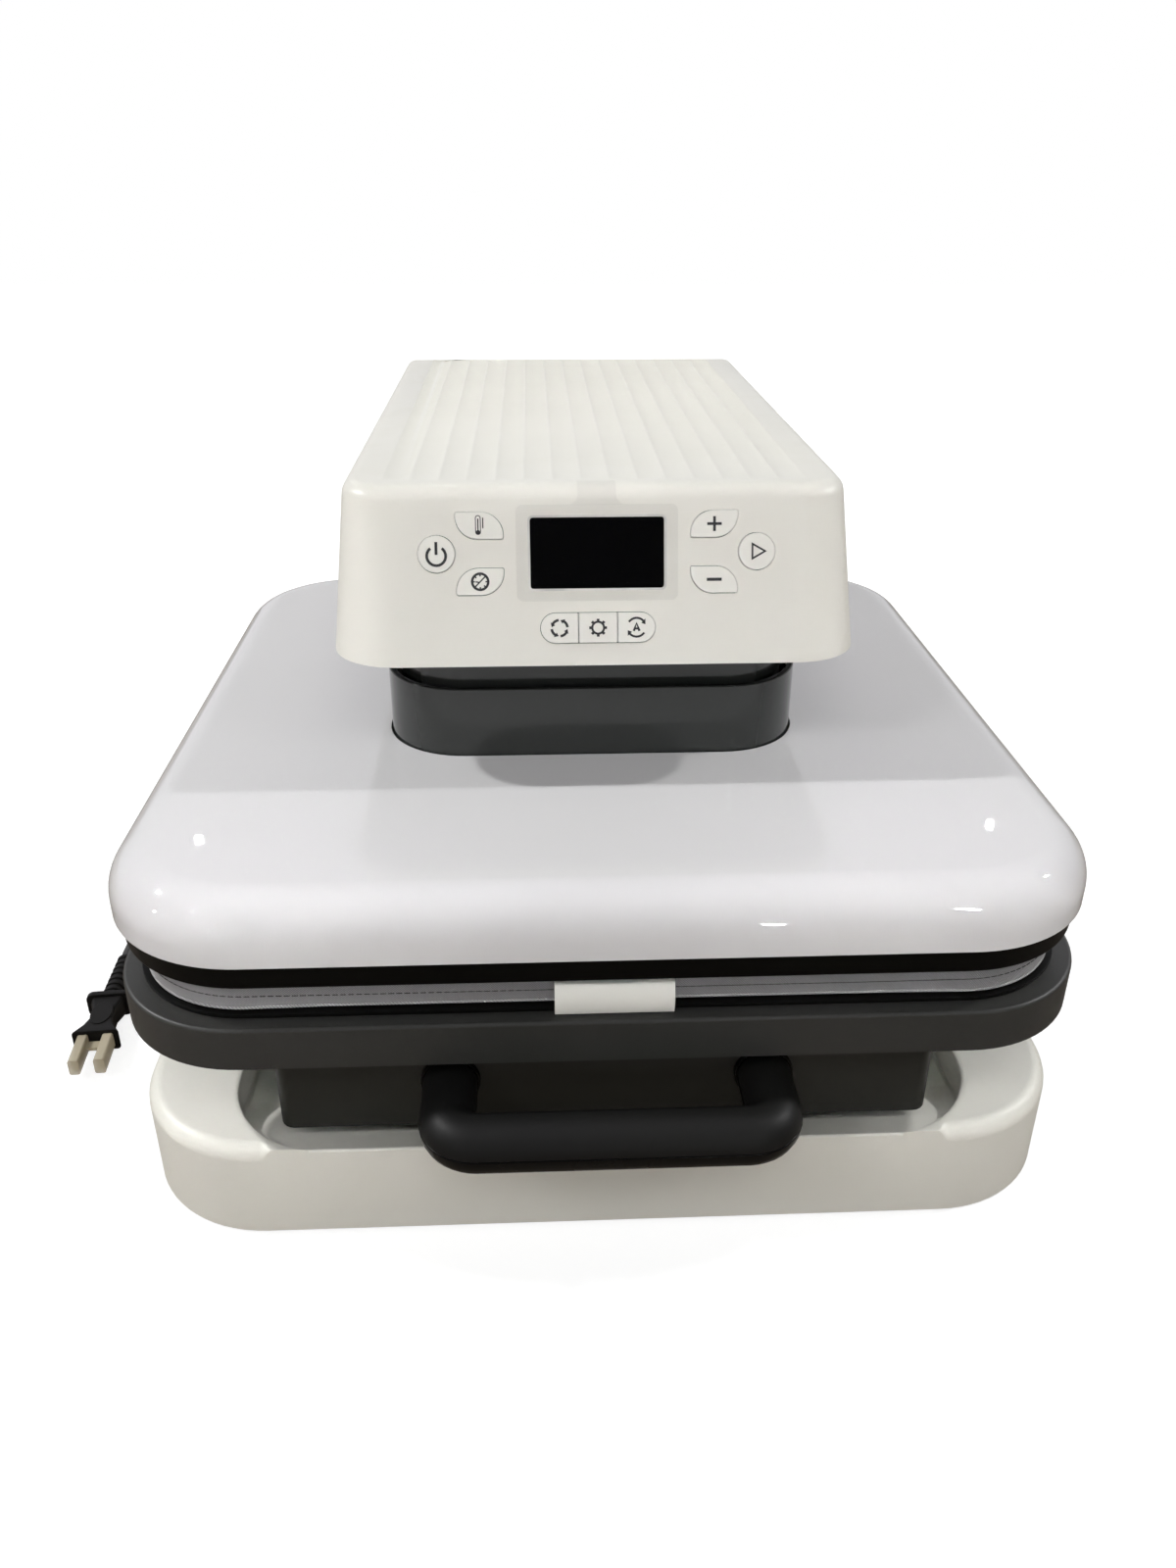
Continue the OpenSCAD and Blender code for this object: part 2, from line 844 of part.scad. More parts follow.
// A key: its cap through the panel, with a flange behind that keeps it in. First child the cap's
// outline, second child the flange's.
module key(x, y) {
  color([0.9, 0.89, 0.85])
    on_panel(x, y, key_back) {
      linear_extrude(key_back + key_proud)
        children(0);
      linear_extrude(key_flange_t)
        children(1);
    }
}

module free_key(index) {
  k = free_keys[index];
  key(k[0], k[1]) {
    free_key_outline(k[2], 0);
    free_key_outline(k[2], key_flange);
  }
}

module row_key(index) {
  key(0, row_y) {
    row_key_outline(index, 0);
    row_key_outline(index, key_flange);
  }
}

module power_key() free_key(0);

module start_key() free_key(1);

module temperature_key() free_key(2);

module timer_key() free_key(3);

module plus_key() free_key(4);

module minus_key() free_key(5);

module mode_key() row_key(-1);

module settings_key() row_key(0);

module auto_key() row_key(1);

// Lifting gear in the head

module power_board() {
  w = mains_board[0];
  d = mains_board[1];
  color([0.12, 0.3, 0.18])
    at_plate()
      translate([-cheek_x + mains_board_gap, mains_board_y, arm_top]) {
        translate([0, 0, stand_h])
          cube([w, d, board_t]);
        for (x = [stand_in, w - stand_in], y = [stand_in, d - stand_in])
          translate([x, y, 0])
            cylinder(r = stand_r, h = stand_h + eps);
        translate([transformer_at[0], transformer_at[1], stand_h])
          cube(transformer);
        for (y = capacitor_y)
          translate([w / 2, y, stand_h])
            cylinder(r = capacitor_r, h = capacitor_h);
      }
}

module motor() {
  color([0.45, 0.46, 0.47])
    at_plate()
      translate([0, gearbox_size[1] / 2, arm_top + motor_lift])
        rotate([-90, 0, 0])
          cylinder(r = motor_r, h = motor_len);
}

module gearbox() {
  color([0.55, 0.56, 0.57])
    at_plate()
      difference() {
        translate([-gearbox_size[0] / 2, -gearbox_size[1] / 2, arm_top])
          cube(gearbox_size);
        translate([0, 0, arm_top - over])
          cylinder(r = gearbox_bore, h = over + coupler_lift + coupler_len + bore_spare);
      }
}

module screw_bearing() {
  color([0.7, 0.7, 0.7])
    at_plate()
      translate([0, 0, arm_z])
        difference() {
          cylinder(r = bearing_r, h = arm_t);
          translate([0, 0, -over])
            cylinder(r = screw_r + run_clear, h = arm_t + 2 * over);
        }
}

module guide_bushes() {
  color([0.72, 0.58, 0.3])
    at_plate()
      for (x = [-1, 1], y = [-1, 1])
        translate([x * rod_at[0], y * rod_at[1], arm_z - bush_drop])
          difference() {
            cylinder(r = bush_r, h = bush_len);
            translate([0, 0, -over])
              cylinder(r = rod_r + run_clear, h = bush_len + 2 * over);
          }
}

module drive_screw() {
  color([0.65, 0.66, 0.67])
    at_plate() {
      translate([0, 0, yoke_top + screw_tip])
        cylinder(r = screw_r, h = arm_top + coupler_lift - yoke_top);
      translate([0, 0, arm_top + coupler_lift])
        cylinder(r = coupler_r, h = coupler_len);
    }
}

// Press

module press_cover() {
  inner = cover_size - 2 * shell_wall;
  color([0.86, 0.85, 0.88])
    at_plate()
      translate([0, 0, plate_top])
        difference() {
          soft_block(cover_size, cover_size, cover_corner, cover_h, cover_round);
          translate([0, 0, -eps])
            soft_block(inner, inner, cover_corner - shell_wall, cover_h - shell_wall + eps,
              cover_round - shell_wall);
          linear_extrude(cover_h + over)
            rounded_plan(throat_w, throat_d, throat_corner);
        }
}

module cover_trim() {
  outer = cover_size - 2 * shell_wall - 2 * slip;
  skirt = cover_size - 2 * trim_inset;
  ledge = 18;
  ledge_t = 3;
  color([0.05, 0.05, 0.05])
    at_plate() {
      translate([0, 0, trim_z])
        plan_tube(skirt, skirt, cover_corner - trim_inset, trim_wall, plate_top - trim_z);
      translate([0, 0, plate_top])
        plan_tube(outer, outer, cover_corner - shell_wall - slip, ledge + cover_size / 2 - plate_size / 2,
          ledge_t);
    }
}

module lower_shroud() {
  color([0.2, 0.21, 0.2])
    at_plate()
      translate([0, 0, cover_top])
        plan_tube(neck_w, neck_d, neck_corner, shell_wall, neck_h);
}

module yoke() {
  color([0.4, 0.41, 0.42])
    at_plate() {
      difference() {
        translate([-yoke_size[0] / 2, -yoke_size[1] / 2, yoke_z])
          cube([yoke_size[0], yoke_size[1], yoke_t]);
        translate([0, 0, yoke_z - over])
          cylinder(r = screw_r + yoke_bore_gap, h = yoke_t + 2 * over);
      }
      for (x = [-1, 1], y = [-1, 1])
        translate([x * leg_at[0], y * leg_at[1], plate_top])
          cylinder(r = leg_r, h = yoke_z - plate_top + eps);
    }
}

module guide_rods() {
  color([0.75, 0.76, 0.77])
    at_plate()
      for (x = [-1, 1], y = [-1, 1])
        translate([x * rod_at[0], y * rod_at[1], yoke_top])
          cylinder(r = rod_r, h = rod_top - yoke_top);
}

module drive_nut() {
  color([0.72, 0.58, 0.3])
    at_plate()
      translate([0, 0, yoke_top])
        difference() {
          union() {
            cylinder(r = nut_flange[0], h = nut_flange[1]);
            cylinder(r = nut_r, h = nut_len);
          }
          translate([0, 0, -over])
            cylinder(r = screw_r + run_clear, h = nut_len + 2 * over);
        }
}

module insulation_board() {
  color([0.85, 0.82, 0.72])
    at_plate()
      translate([0, 0, plate_top + element_t])
        difference() {
          linear_extrude(insulation_t)
            rounded_plan(insulation_size, insulation_size, insulation_corner);
          for (x = [-1, 1], y = [-1, 1])
            translate([x * leg_at[0], y * leg_at[1], -over])
              cylinder(r = leg_r + leg_gap, h = insulation_t + 2 * over);
        }
}

module heat_plate() {
  color([0.24, 0.24, 0.25])
    at_plate()
      translate([0, 0, plate_z])
        linear_extrude(plate_t)
          rounded_plan(plate_size, plate_size, plate_corner);
}

// Flat heating strip laid to and fro over the plate
module heating_element() {
  first = -(element_passes - 1) * element_pitch / 2;
  color([0.5, 0.42, 0.36])
    at_plate()
      translate([0, 0, plate_top])
        linear_extrude(element_t) {
          for (i = [0 : element_passes - 1])
            translate([-element_half, first + i * element_pitch - element_w / 2])
              square([2 * element_half, element_w]);
          for (i = [0 : element_passes - 2])
            translate([(i % 2 == 0 ? 1 : -1) * element_half, first + (i + 0.5) * element_pitch])
              intersection() {
                difference() {
                  circle(element_pitch / 2 + element_w / 2);
                  circle(element_pitch / 2 - element_w / 2);
                }
                translate([i % 2 == 0 ? 0 : -element_pitch, -element_pitch])
                  square([element_pitch, 2 * element_pitch]);
              }
        }
}

module thermostat() {
  color([0.8, 0.8, 0.78])
    at_plate()
      translate([0, -element_pitch, plate_top])
        cylinder(r = thermostat_r, h = element_t);
}

// Platen drawer

module platen_tray() {
  inner = platen_size - 2 * shell_wall;
  color([0.25, 0.255, 0.25])
    at_plate()
      translate([0, 0, platen_z])
        difference() {
          soft_block(platen_size, platen_size, platen_corner, platen_t, platen_round);
          translate([0, 0, -eps])
            linear_extrude(platen_t - platen_top_t + eps)
              rounded_plan(inner, inner, platen_corner - shell_wall);
        }
}

module platen_plate() {
  side = platen_size - 2 * shell_wall - 2 * slip;
  color([0.5, 0.5, 0.5])
    at_plate()
      translate([0, 0, platen_plate_z])
        linear_extrude(platen_plate_t)
          rounded_plan(side, side, platen_corner - shell_wall - slip);
}

module carriage_box() {
  corner = 6;
  depth = 2 * carriage_front;
  height = platen_plate_z - carriage_z;
  color([0.13, 0.13, 0.12])
    at_plate()
      difference() {
        translate([0, 0, carriage_z])
          plan_tube(carriage_w, depth, corner, shell_wall, height);
        translate([-carriage_w / 2 + shell_wall, carriage_front - over, carriage_z - over])
          cube([carriage_w - 2 * shell_wall, 2 * over, height + 2 * over]);
        for (x = [-1, 1])
          translate([x * post_x, -carriage_front - over, handle_z])
            rotate([-90, 0, 0])
              cylinder(r = handle_screw_r + slip, h = 2 * over);
      }
}

module slide_rails() {
  color([0.6, 0.61, 0.62])
    at_plate()
      for (x = [-1, 1])
        translate([x * rail_x, rail_rear, 0])
          rotate([90, 0, 0])
            linear_extrude(rail_len) {
              translate([-rail_foot[0] / 2, bay_z])
                square(rail_foot);
              translate([-rail_web / 2, bay_z])
                square([rail_web, rail_bar_z - bay_z + rail_bar / 2]);
              translate([-rail_bar / 2, rail_bar_z])
                square(rail_bar);
            }
}

module slide_runners() {
  outer = runner_inner + 2 * runner_wall;
  height = platen_plate_z - runner_z;
  color([0.5, 0.51, 0.52])
    at_plate()
      for (x = [-1, 1])
        translate([x * rail_x, rail_rear, runner_z])
          rotate([90, 0, 0])
            linear_extrude(rail_len)
              difference() {
                translate([-outer / 2, 0])
                  square([outer, height]);
                translate([-runner_inner / 2, runner_wall])
                  square([runner_inner, rail_bar + 2 * slide_clear]);
                translate([-runner_inner / 2 + runner_lip, -over])
                  square([runner_inner - 2 * runner_lip, 2 * over]);
              }
}

// Handle: a bar across the front, bent back into a post at each end
module handle_solid() {
  bar_half = post_x - handle_bend;
  post_len = handle_reach - handle_bend - collar_t;
  translate([-bar_half, -handle_y, handle_z])
    rotate([0, 90, 0])
      cylinder(r = handle_r, h = 2 * bar_half);
  for (side = [0, 1])
    mirror([side, 0, 0])
      translate([bar_half, -handle_y + handle_bend, handle_z]) {
        rotate([0, 0, -90])
          rotate_extrude(angle = 90)
            translate([handle_bend, 0])
              circle(handle_r);
        translate([handle_bend, 0, 0])
          rotate([-90, 0, 0])
            difference() {
              cylinder(r = handle_r, h = post_len);
              translate([0, 0, post_len - handle_screw_len + collar_t + shell_wall])
                cylinder(r = handle_screw_r, h = handle_screw_len);
            }
      }
}

module handle_cut(below) {
  translate([-handle_w, -handle_y - handle_d, handle_z - handle_part - (below ? 2 * handle_d : 0)])
    cube([2 * handle_w, 4 * handle_reach, 2 * handle_d]);
}

module handle_upper() {
  color([0.07, 0.07, 0.07])
    at_plate()
      intersection() {
        handle_solid();
        handle_cut(false);
      }
}

module handle_lower() {
  color([0.05, 0.05, 0.05])
    at_plate()
      intersection() {
        handle_solid();
        handle_cut(true);
      }
}

module handle_collars() {
  proud = 1;
  color([0.03, 0.03, 0.03])
    at_plate()
      for (x = [-1, 1])
        translate([x * post_x, -carriage_front - collar_t, handle_z])
          rotate([-90, 0, 0])
            difference() {
              cylinder(r = handle_r + proud, h = collar_t);
              translate([0, 0, -over])
                cylinder(r = handle_screw_r + slip, h = collar_t + 2 * over);
            }
}

module handle_screws() {
  color([0.6, 0.6, 0.6])
    at_plate()
      for (x = [-1, 1])
        translate([x * post_x, -carriage_front + shell_wall, handle_z])
          rotate([-90, 0, 0]) {
            cylinder(r = handle_screw_head[0], h = handle_screw_head[1]);
            translate([0, 0, -handle_screw_len])
              cylinder(r = handle_screw_r, h = handle_screw_len);
          }
}

// Pad

module pad_base() {
  inset = 1;
  side = pad_size - 2 * inset;
  color([0.05, 0.05, 0.05])
    at_plate()
      translate([0, 0, platen_top])
        linear_extrude(pad_base_t)
          rounded_plan(side, side, pad_corner - inset);
}

// Ring of points around a rounded square, for the pad's skin
pad_arc = 8;
function pad_ring(inset, z) = let (half = pad_size / 2 - inset, r = max(pad_corner - inset, 4)) [
  for (q = [0 : 3], i = [0 : pad_arc])
    let (a = 90 * (q + i / pad_arc), sx = q == 0 || q == 3 ? 1 : -1, sy = q < 2 ? 1 : -1)
      [sx * (half - r) + r * cos(a), sy * (half - r) + r * sin(a), z]];
// Levels of the pad's skin: [inset, height as a share of the crown]. The sides are drawn in at the
// foot and the seam and swell between, and the top rises in a low crown.
pad_levels = [[3, 0], [1, 0.12], [0.1, 0.28], [0.9, 0.46], [0.2, 0.6], [1.2, 0.76], [4, 0.88], [10, 0.94],
  [24, 0.97], [60, 0.99], [120, 1]];

module press_pad() {
  rings = [for (l = pad_levels) pad_ring(l[0], pad_z + l[1] * pad_t)];
  n = len(rings[0]);
  last = len(rings) - 1;
  points = concat([for (r = rings) each r], [[0, 0, pad_z], [0, 0, pad_z + pad_t]]);
  foot = n * len(rings);
  crown = foot + 1;
  sides = [for (j = [0 : last - 1], i = [0 : n - 1])
    let (k = (i + 1) % n)
      each [[j * n + i, (j + 1) * n + i, (j + 1) * n + k], [j * n + i, (j + 1) * n + k, j * n + k]]];
  caps = [for (i = [0 : n - 1])
    let (k = (i + 1) % n)
      each [[foot, i, k], [crown, last * n + k, last * n + i]]];
  color([0.43, 0.43, 0.43])
    at_plate()
      polyhedron(points, concat(sides, caps));
}

// Folded satin tag: a tongue under the seam and a loop that bows out and hangs to the platen
module pad_tag() {
  bow = 14;
  reach = 6;
  rise = 6.3;
  tag_x = 2;
  mid_z = platen_top + rise;
  centre = [-pad_size / 2 - reach + bow, mid_z];
  arc = [for (a = [152 : 7 : 203]) a];
  tongue_z = mid_z + bow * sin(arc[0]);
  color([0.8, 0.8, 0.78])
    at_plate()
      translate([tag_x, 0, 0])
        across(tag_w) {
          polygon(concat([for (a = arc) centre + bow * [cos(a), sin(a)]],
            [for (i = [len(arc) - 1 : -1 : 0]) centre + (bow - tag_t) * [cos(arc[i]), sin(arc[i])]]));
          translate([centre[0] + bow * cos(arc[0]), tongue_z - tag_t])
            square([-pad_size / 2 - slip / 2 - centre[0] - bow * cos(arc[0]), tag_t]);
        }
}

// Mains lead

function unit(v) = v / norm(v);
function heading(p, i) = unit(p[min(i + 1, len(p) - 1)] - p[max(i - 1, 0)]);
function ring_at(p, i, r, n) = let (t = heading(p, i), s = unit(cross(t, [0, 0, 1])), u = cross(s, t))
  [for (k = [0 : n - 1]) p[i] + r * (cos(360 * k / n) * s + sin(360 * k / n) * u)];

// Tube of n sides swept along points, its faces triangles
module swept_tube(p, r, n) {
  last = len(p) - 1;
  points = [for (i = [0 : last]) each ring_at(p, i, r, n)];
  sides = [for (i = [0 : last - 1], k = [0 : n - 1])
    let (m = (k + 1) % n)
      each [[i * n + k, (i + 1) * n + m, (i + 1) * n + k], [i * n + k, i * n + m, (i + 1) * n + m]]];
  caps = [for (k = [1 : n - 2])
    each [[0, k + 1, k], [last * n, last * n + k, last * n + k + 1]]];
  polyhedron(points, concat(sides, caps));
}

// Coil: in along the lower layer, up in half a turn, and out again along the upper
loop_rings = 24;
coil_total = 2 * coil_turns + 0.5;
function coil_in(t) = t < coil_turns ? t : t < coil_turns + 0.5 ? coil_turns : coil_total - t;
function coil_up(t) = min(max((t - coil_turns) * 2, 0), 1);
function coil_point(t) = let (r = coil_r - coil_step * coil_in(t))
  coil_at + [r * cos(360 * t), r * sin(360 * t), coil_rise * coil_up(t)];
coil_turned = [for (i = [0 : coil_total * loop_rings]) coil_point(i / loop_rings)];
coil_run = [0, cord_d, 0];
coil_points = concat([coil_turned[0] - coil_run], coil_turned,
  [coil_turned[len(coil_turned) - 1] - coil_run]);
// Least gap between turns, measured from ring to ring at least a third of a turn apart
coil_gap = min([for (i = [0 : len(coil_turned) - 1], j = [i + loop_rings / 3 : len(coil_turned) - 1])
  norm(coil_turned[i] - coil_turned[j])]) - cord_d;
echo(coil_gap = coil_gap);

module cord_gland() {
  lip = 2;
  step = 1;
  color([0.05, 0.05, 0.05])
    at_plate()
      translate([gland_at[0], base_rear - shell_wall - lip, gland_at[1]])
        rotate([-90, 0, 0]) {
          cylinder(r = gland_r + lip, h = lip);
          cylinder(r = gland_r, h = shell_wall + lip);
          translate([0, 0, shell_wall + lip])
            cylinder(r = gland_r - step, h = gland_len);
        }
}

module cord_lead() {
  color([0.04, 0.04, 0.04])
    swept_tube(lead_route, cord_r, cord_sides);
}

module cord_coil() {
  color([0.04, 0.04, 0.04])
    swept_tube(coil_points, cord_r, coil_sides);
}

module cord_tail() {
  color([0.04, 0.04, 0.04])
    swept_tube(tail_route, cord_r, cord_sides);
}

// Places a piece of the plug: x across it, -y along it from the end of the strain relief
module at_plug() {
  translate(plug_at)
    rotate([0, 0, plug_turn])
      children();
}

module plug_body() {
  rib_gap = relief_len / (2 * relief_ribs);
  body_y = relief_len + plug_flange_t;
  color([0.05, 0.05, 0.05])
    at_plug()
      rotate([90, 0, 0]) {
        cylinder(r = relief_r - relief_rib, h = relief_len + eps);
        for (i = [0 : relief_ribs - 1])
          translate([0, 0, 2 * i * rib_gap])
            cylinder(r = relief_r, h = rib_gap);
        translate([0, 0, relief_len])
          linear_extrude(plug_flange_t + eps)
            rounded_plan(plug_w, plug_t, plug_corner);
        translate([0, 0, body_y])
          linear_extrude(plug_len)
            rounded_plan(plug_w - plug_step, plug_t - plug_step, plug_corner);
      }
}

module plug_blades() {
  color([0.75, 0.72, 0.6])
    at_plug()
      for (x = [-1, 1])
        translate([x * blade_pitch / 2 - blade_size[0] / 2,
          -relief_len - plug_flange_t - plug_len - blade_len, -blade_size[1] / 2])
          cube([blade_size[0], blade_len, blade_size[1]]);
}

module blade_sleeve() {
  outer = [blade_size[0] + 2 * slip + 2 * sleeve_wall_t, blade_size[1] + 2 * slip + 2 * sleeve_wall_t];
  face_y = -relief_len - plug_flange_t - plug_len;
  color([0.9, 0.9, 0.9, 0.5])
    at_plug()
      translate([0, face_y, 0])
        rotate([90, 0, 0])
          difference() {
            linear_extrude(sleeve_len) {
              for (x = [-1, 1])
                translate([x * blade_pitch / 2, 0])
                  square(outer, center = true);
              square([blade_pitch, sleeve_wall_t], center = true);
            }
            for (x = [-1, 1])
              translate([x * blade_pitch / 2, 0, -over])
                linear_extrude(over + blade_len + slip)
                  square([blade_size[0] + 2 * slip, blade_size[1] + 2 * slip], center = true);
          }
}

base_shell();
base_plate();
rubber_feet();
base_screws();
c_frame();
column_cover();
head_housing();
head_underside();
upper_shroud();
display_window();
display_film();
lcd_module();
control_board();
key_switches();
power_board();
motor();
gearbox();
screw_bearing();
guide_bushes();
slide_rails();
press_cover();
cover_trim();
lower_shroud();
yoke();
guide_rods();
drive_nut();
insulation_board();
heat_plate();
heating_element();
thermostat();
drive_screw();
platen_tray();
platen_plate();
carriage_box();
slide_runners();
handle_upper();
handle_lower();
handle_collars();
handle_screws();
pad_base();
press_pad();
pad_tag();
power_key();
start_key();
temperature_key();
timer_key();
plus_key();
minus_key();
mode_key();
settings_key();
auto_key();
cord_gland();
cord_lead();
cord_coil();
cord_tail();
plug_body();
plug_blades();
blade_sleeve();
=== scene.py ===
# Auto-open craft heat press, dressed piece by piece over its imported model. Metres, +Z up, front towards -Y.
import math

import bmesh
import bpy
from mathutils import Matrix, Vector


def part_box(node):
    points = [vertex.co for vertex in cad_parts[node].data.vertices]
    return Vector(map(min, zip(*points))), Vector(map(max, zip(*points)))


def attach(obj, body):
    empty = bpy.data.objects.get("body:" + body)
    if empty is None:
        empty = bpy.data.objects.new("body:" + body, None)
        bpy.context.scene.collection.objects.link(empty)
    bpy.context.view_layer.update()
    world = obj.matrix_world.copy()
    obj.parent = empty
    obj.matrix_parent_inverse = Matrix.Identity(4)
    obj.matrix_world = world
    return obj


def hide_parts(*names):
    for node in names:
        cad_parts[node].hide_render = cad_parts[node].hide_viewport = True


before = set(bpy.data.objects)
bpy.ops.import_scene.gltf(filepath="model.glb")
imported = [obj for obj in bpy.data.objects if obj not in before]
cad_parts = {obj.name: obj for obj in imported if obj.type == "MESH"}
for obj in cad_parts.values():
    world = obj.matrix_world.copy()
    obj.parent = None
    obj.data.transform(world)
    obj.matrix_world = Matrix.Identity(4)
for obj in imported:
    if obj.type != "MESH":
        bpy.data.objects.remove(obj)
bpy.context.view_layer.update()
bpy.ops.object.select_all(action="DESELECT")

# Studio: a pale floor in a white surround, two small ceiling spots that throw crisp shadows of the head, soft banks
# all round, narrow fills for the base's shoulders, and small lamps that show as glints on the lid.
# The camera stands a little left of the machine's middle and looks down at it.
scene = bpy.context.scene
scene.view_settings.view_transform = "Standard"


def new_nodes(owner):
    """The node tree of a material or world, emptied."""
    owner.use_nodes = True
    owner.node_tree.nodes.clear()
    return owner.node_tree


def node(tree, kind, inputs=None, **settings):
    """Adds a node with its settings. Each input gets a value, or a link as a node and the name of its output."""
    made = tree.nodes.new(kind)
    for name, value in settings.items():
        setattr(made, name, value)
    for name, value in (inputs or {}).items():
        if isinstance(value, tuple) and isinstance(value[0], bpy.types.Node):
            tree.links.new(value[0].outputs[value[1]], made.inputs[name])
        else:
            made.inputs[name].default_value = value
    return made


# Glossy pieces mirror a grey wall that brightens into a pale ceiling. The camera sees plain white.
wall_grey, ceiling_pale = (0.05, 0.05, 0.05, 1), (0.74, 0.73, 0.77, 1)
surround = bpy.data.worlds.new("studio_surround")
scene.world = surround
tree = new_nodes(surround)
path = node(tree, "ShaderNodeLightPath")
place = node(tree, "ShaderNodeTexCoord")
way = node(tree, "ShaderNodeSeparateXYZ", {"Vector": (place, "Generated")})
ahead = node(tree, "ShaderNodeMath", {0: (way, "Y"), 1: 0.9, 2: (way, "Z")}, operation="MULTIPLY_ADD")
rise = {"Value": (ahead, "Value"), "From Min": -0.35, "From Max": 0.75}
ceiling = node(tree, "ShaderNodeMapRange", rise, interpolation_type="SMOOTHSTEP")
tones = {"Factor": (ceiling, "Result"), "A": wall_grey, "B": ceiling_pale}
wall = node(tree, "ShaderNodeMix", tones, data_type="RGBA")
ambient = node(tree, "ShaderNodeBackground", {"Color": (0.99, 0.99, 1.0, 1), "Strength": 0.08})
mirror = node(tree, "ShaderNodeBackground", {"Color": (wall, "Result")})
backdrop = node(tree, "ShaderNodeBackground", {"Color": (1, 1, 1, 1)})
rays = {"Fac": (path, "Is Glossy Ray"), 1: (ambient, "Background"), 2: (mirror, "Background")}
gloss_mix = node(tree, "ShaderNodeMixShader", rays)
rays = {0: (path, "Is Camera Ray"), 1: (path, "Is Transmission Ray")}
seen = node(tree, "ShaderNodeMath", rays, operation="MAXIMUM")
rays = {"Fac": (seen, "Value"), 1: (gloss_mix, "Shader"), 2: (backdrop, "Background")}
seen_mix = node(tree, "ShaderNodeMixShader", rays)
node(tree, "ShaderNodeOutputWorld", {"Surface": (seen_mix, "Shader")})

# The camera sees the floor as paper that fades to white away from the machine. Light bounces off it as off wood.
bpy.ops.mesh.primitive_plane_add(size=8)
floor = bpy.context.object
floor.name = "studio_floor"
floor_paint = bpy.data.materials.new("studio_floor_paint")
tree = new_nodes(floor_paint)
path = node(tree, "ShaderNodeLightPath")
paper = node(tree, "ShaderNodeBsdfDiffuse", {"Color": (0.95, 0.95, 0.95, 1)})
wood = node(tree, "ShaderNodeBsdfDiffuse", {"Color": (0.26, 0.22, 0.18, 1)})
white = node(tree, "ShaderNodeEmission", {"Strength": 1.30})
place = node(tree, "ShaderNodeTexCoord")
reach = node(tree, "ShaderNodeVectorMath", {0: (place, "Object")}, operation="LENGTH")
fade = node(tree, "ShaderNodeMapRange", {"Value": (reach, "Value"), "From Min": 0.45, "To Min": 0.62})
lift = node(tree, "ShaderNodeMixShader", {"Fac": (fade, "Result"), 1: (paper, "BSDF"), 2: (white, "Emission")})
rays = {"Fac": (path, "Is Camera Ray"), 1: (wood, "BSDF"), 2: (lift, "Shader")}
seen_mix = node(tree, "ShaderNodeMixShader", rays)
node(tree, "ShaderNodeOutputMaterial", {"Surface": (seen_mix, "Shader")})
floor.data.materials.append(floor_paint)


def lamp(name, spot, aim, size, watts, spread=180, mirrored=False, lights=True):
    """A lamp that faces a point. A mirrored one shows in glossy pieces, and one that lights nothing only there."""
    bpy.ops.object.light_add(type="AREA", location=spot)
    made = bpy.context.object
    made.name = name
    made.data.shape = "RECTANGLE"
    made.data.size, made.data.size_y = size
    made.data.energy = watts
    made.data.spread = math.radians(spread)
    made.visible_glossy = mirrored
    made.visible_diffuse = lights
    made.rotation_euler = (Vector(spot) - Vector(aim)).to_track_quat("Z", "Y").to_euler()


lid_middle, lid_rear, press_front = (0, -0.05, 0.17), (0, -0.1, 0.17), (0, -0.2, 0.1)
lamp("right_spot", (2.37, 0.25, 1.77), lid_middle, (0.10, 0.10), 31.0, mirrored=True)
lamp("left_spot", (-1.90, 0.25, 1.75), lid_middle, (0.10, 0.10), 32.0, mirrored=True)
lamp("left_bank", (-1.5, -1.3, 1.7), press_front, (0.5, 0.5), 10.0)
lamp("right_bank", (1.5, -1.3, 1.7), press_front, (0.5, 0.5), 5.0)
lamp("front_bank", (0.0, -1.6, 2.0), press_front, (1.0, 0.6), 8.0)
lamp("low_bank", (0.0, -2.4, 0.6), press_front, (2.0, 0.6), 8.5)
lamp("panel_bank", (0.0, -2.6, 0.85), (0, -0.1, 0.27), (1.0, 0.1), 0.33, spread=18)
lamp("left_fill", (0.226, -1.495, 1.201), (-0.185, -0.14, 0.05), (0.1, 0.1), 0.016, spread=8)
lamp("right_fill", (-0.394, -1.495, 1.201), (0.175, -0.12, 0.05), (0.1, 0.1), 0.012, spread=8)
lamp("rear_bank", (0.0, 2.4, 0.9), (0, 0.2, 0.15), (1.2, 0.6), 9.0)
lamp("left_glint", (-1.067, 2.679, 1.8), lid_rear, (0.02, 0.02), 0.30, mirrored=True)
lamp("right_glint", (1.392, 2.677, 1.8), lid_rear, (0.02, 0.02), 0.30, mirrored=True)
for number, spot, edge_x in (
    (1, (-2.579, -0.693, 1.041), -0.17),
    (2, (-1.717, -1.079, 2.064), -0.17),
    (3, (-1.452, -2.343, 0.935), -0.17),
    (4, (0.550, -2.755, 0.530), 0.07),
    (5, (1.014, -2.278, 1.501), 0.14),
):
    lid_edge = (edge_x, -0.22, 0.16)
    lamp(f"front_glint_{number}", spot, lid_edge, (0.05, 0.20), 3.5, mirrored=True, lights=False)

camera_spot = (-0.02798, -0.62535, 0.42749)
camera_turn, camera_dip, camera_roll = -2.671, 27.424, 0.228
focal_px, picture_px, sensor_mm = 1250.2, 1600, 36
bpy.ops.object.camera_add()
camera = bpy.context.object
camera.name = "shop_camera"
camera.data.sensor_width = sensor_mm
camera.data.lens = focal_px / picture_px * sensor_mm
camera.matrix_world = (
    Matrix.Translation(camera_spot)
    @ Matrix.Rotation(math.radians(camera_turn), 4, "Z")
    @ Matrix.Rotation(math.radians(90 - camera_dip), 4, "X")
    @ Matrix.Rotation(math.radians(camera_roll), 4, "Z")
)
scene.camera = camera

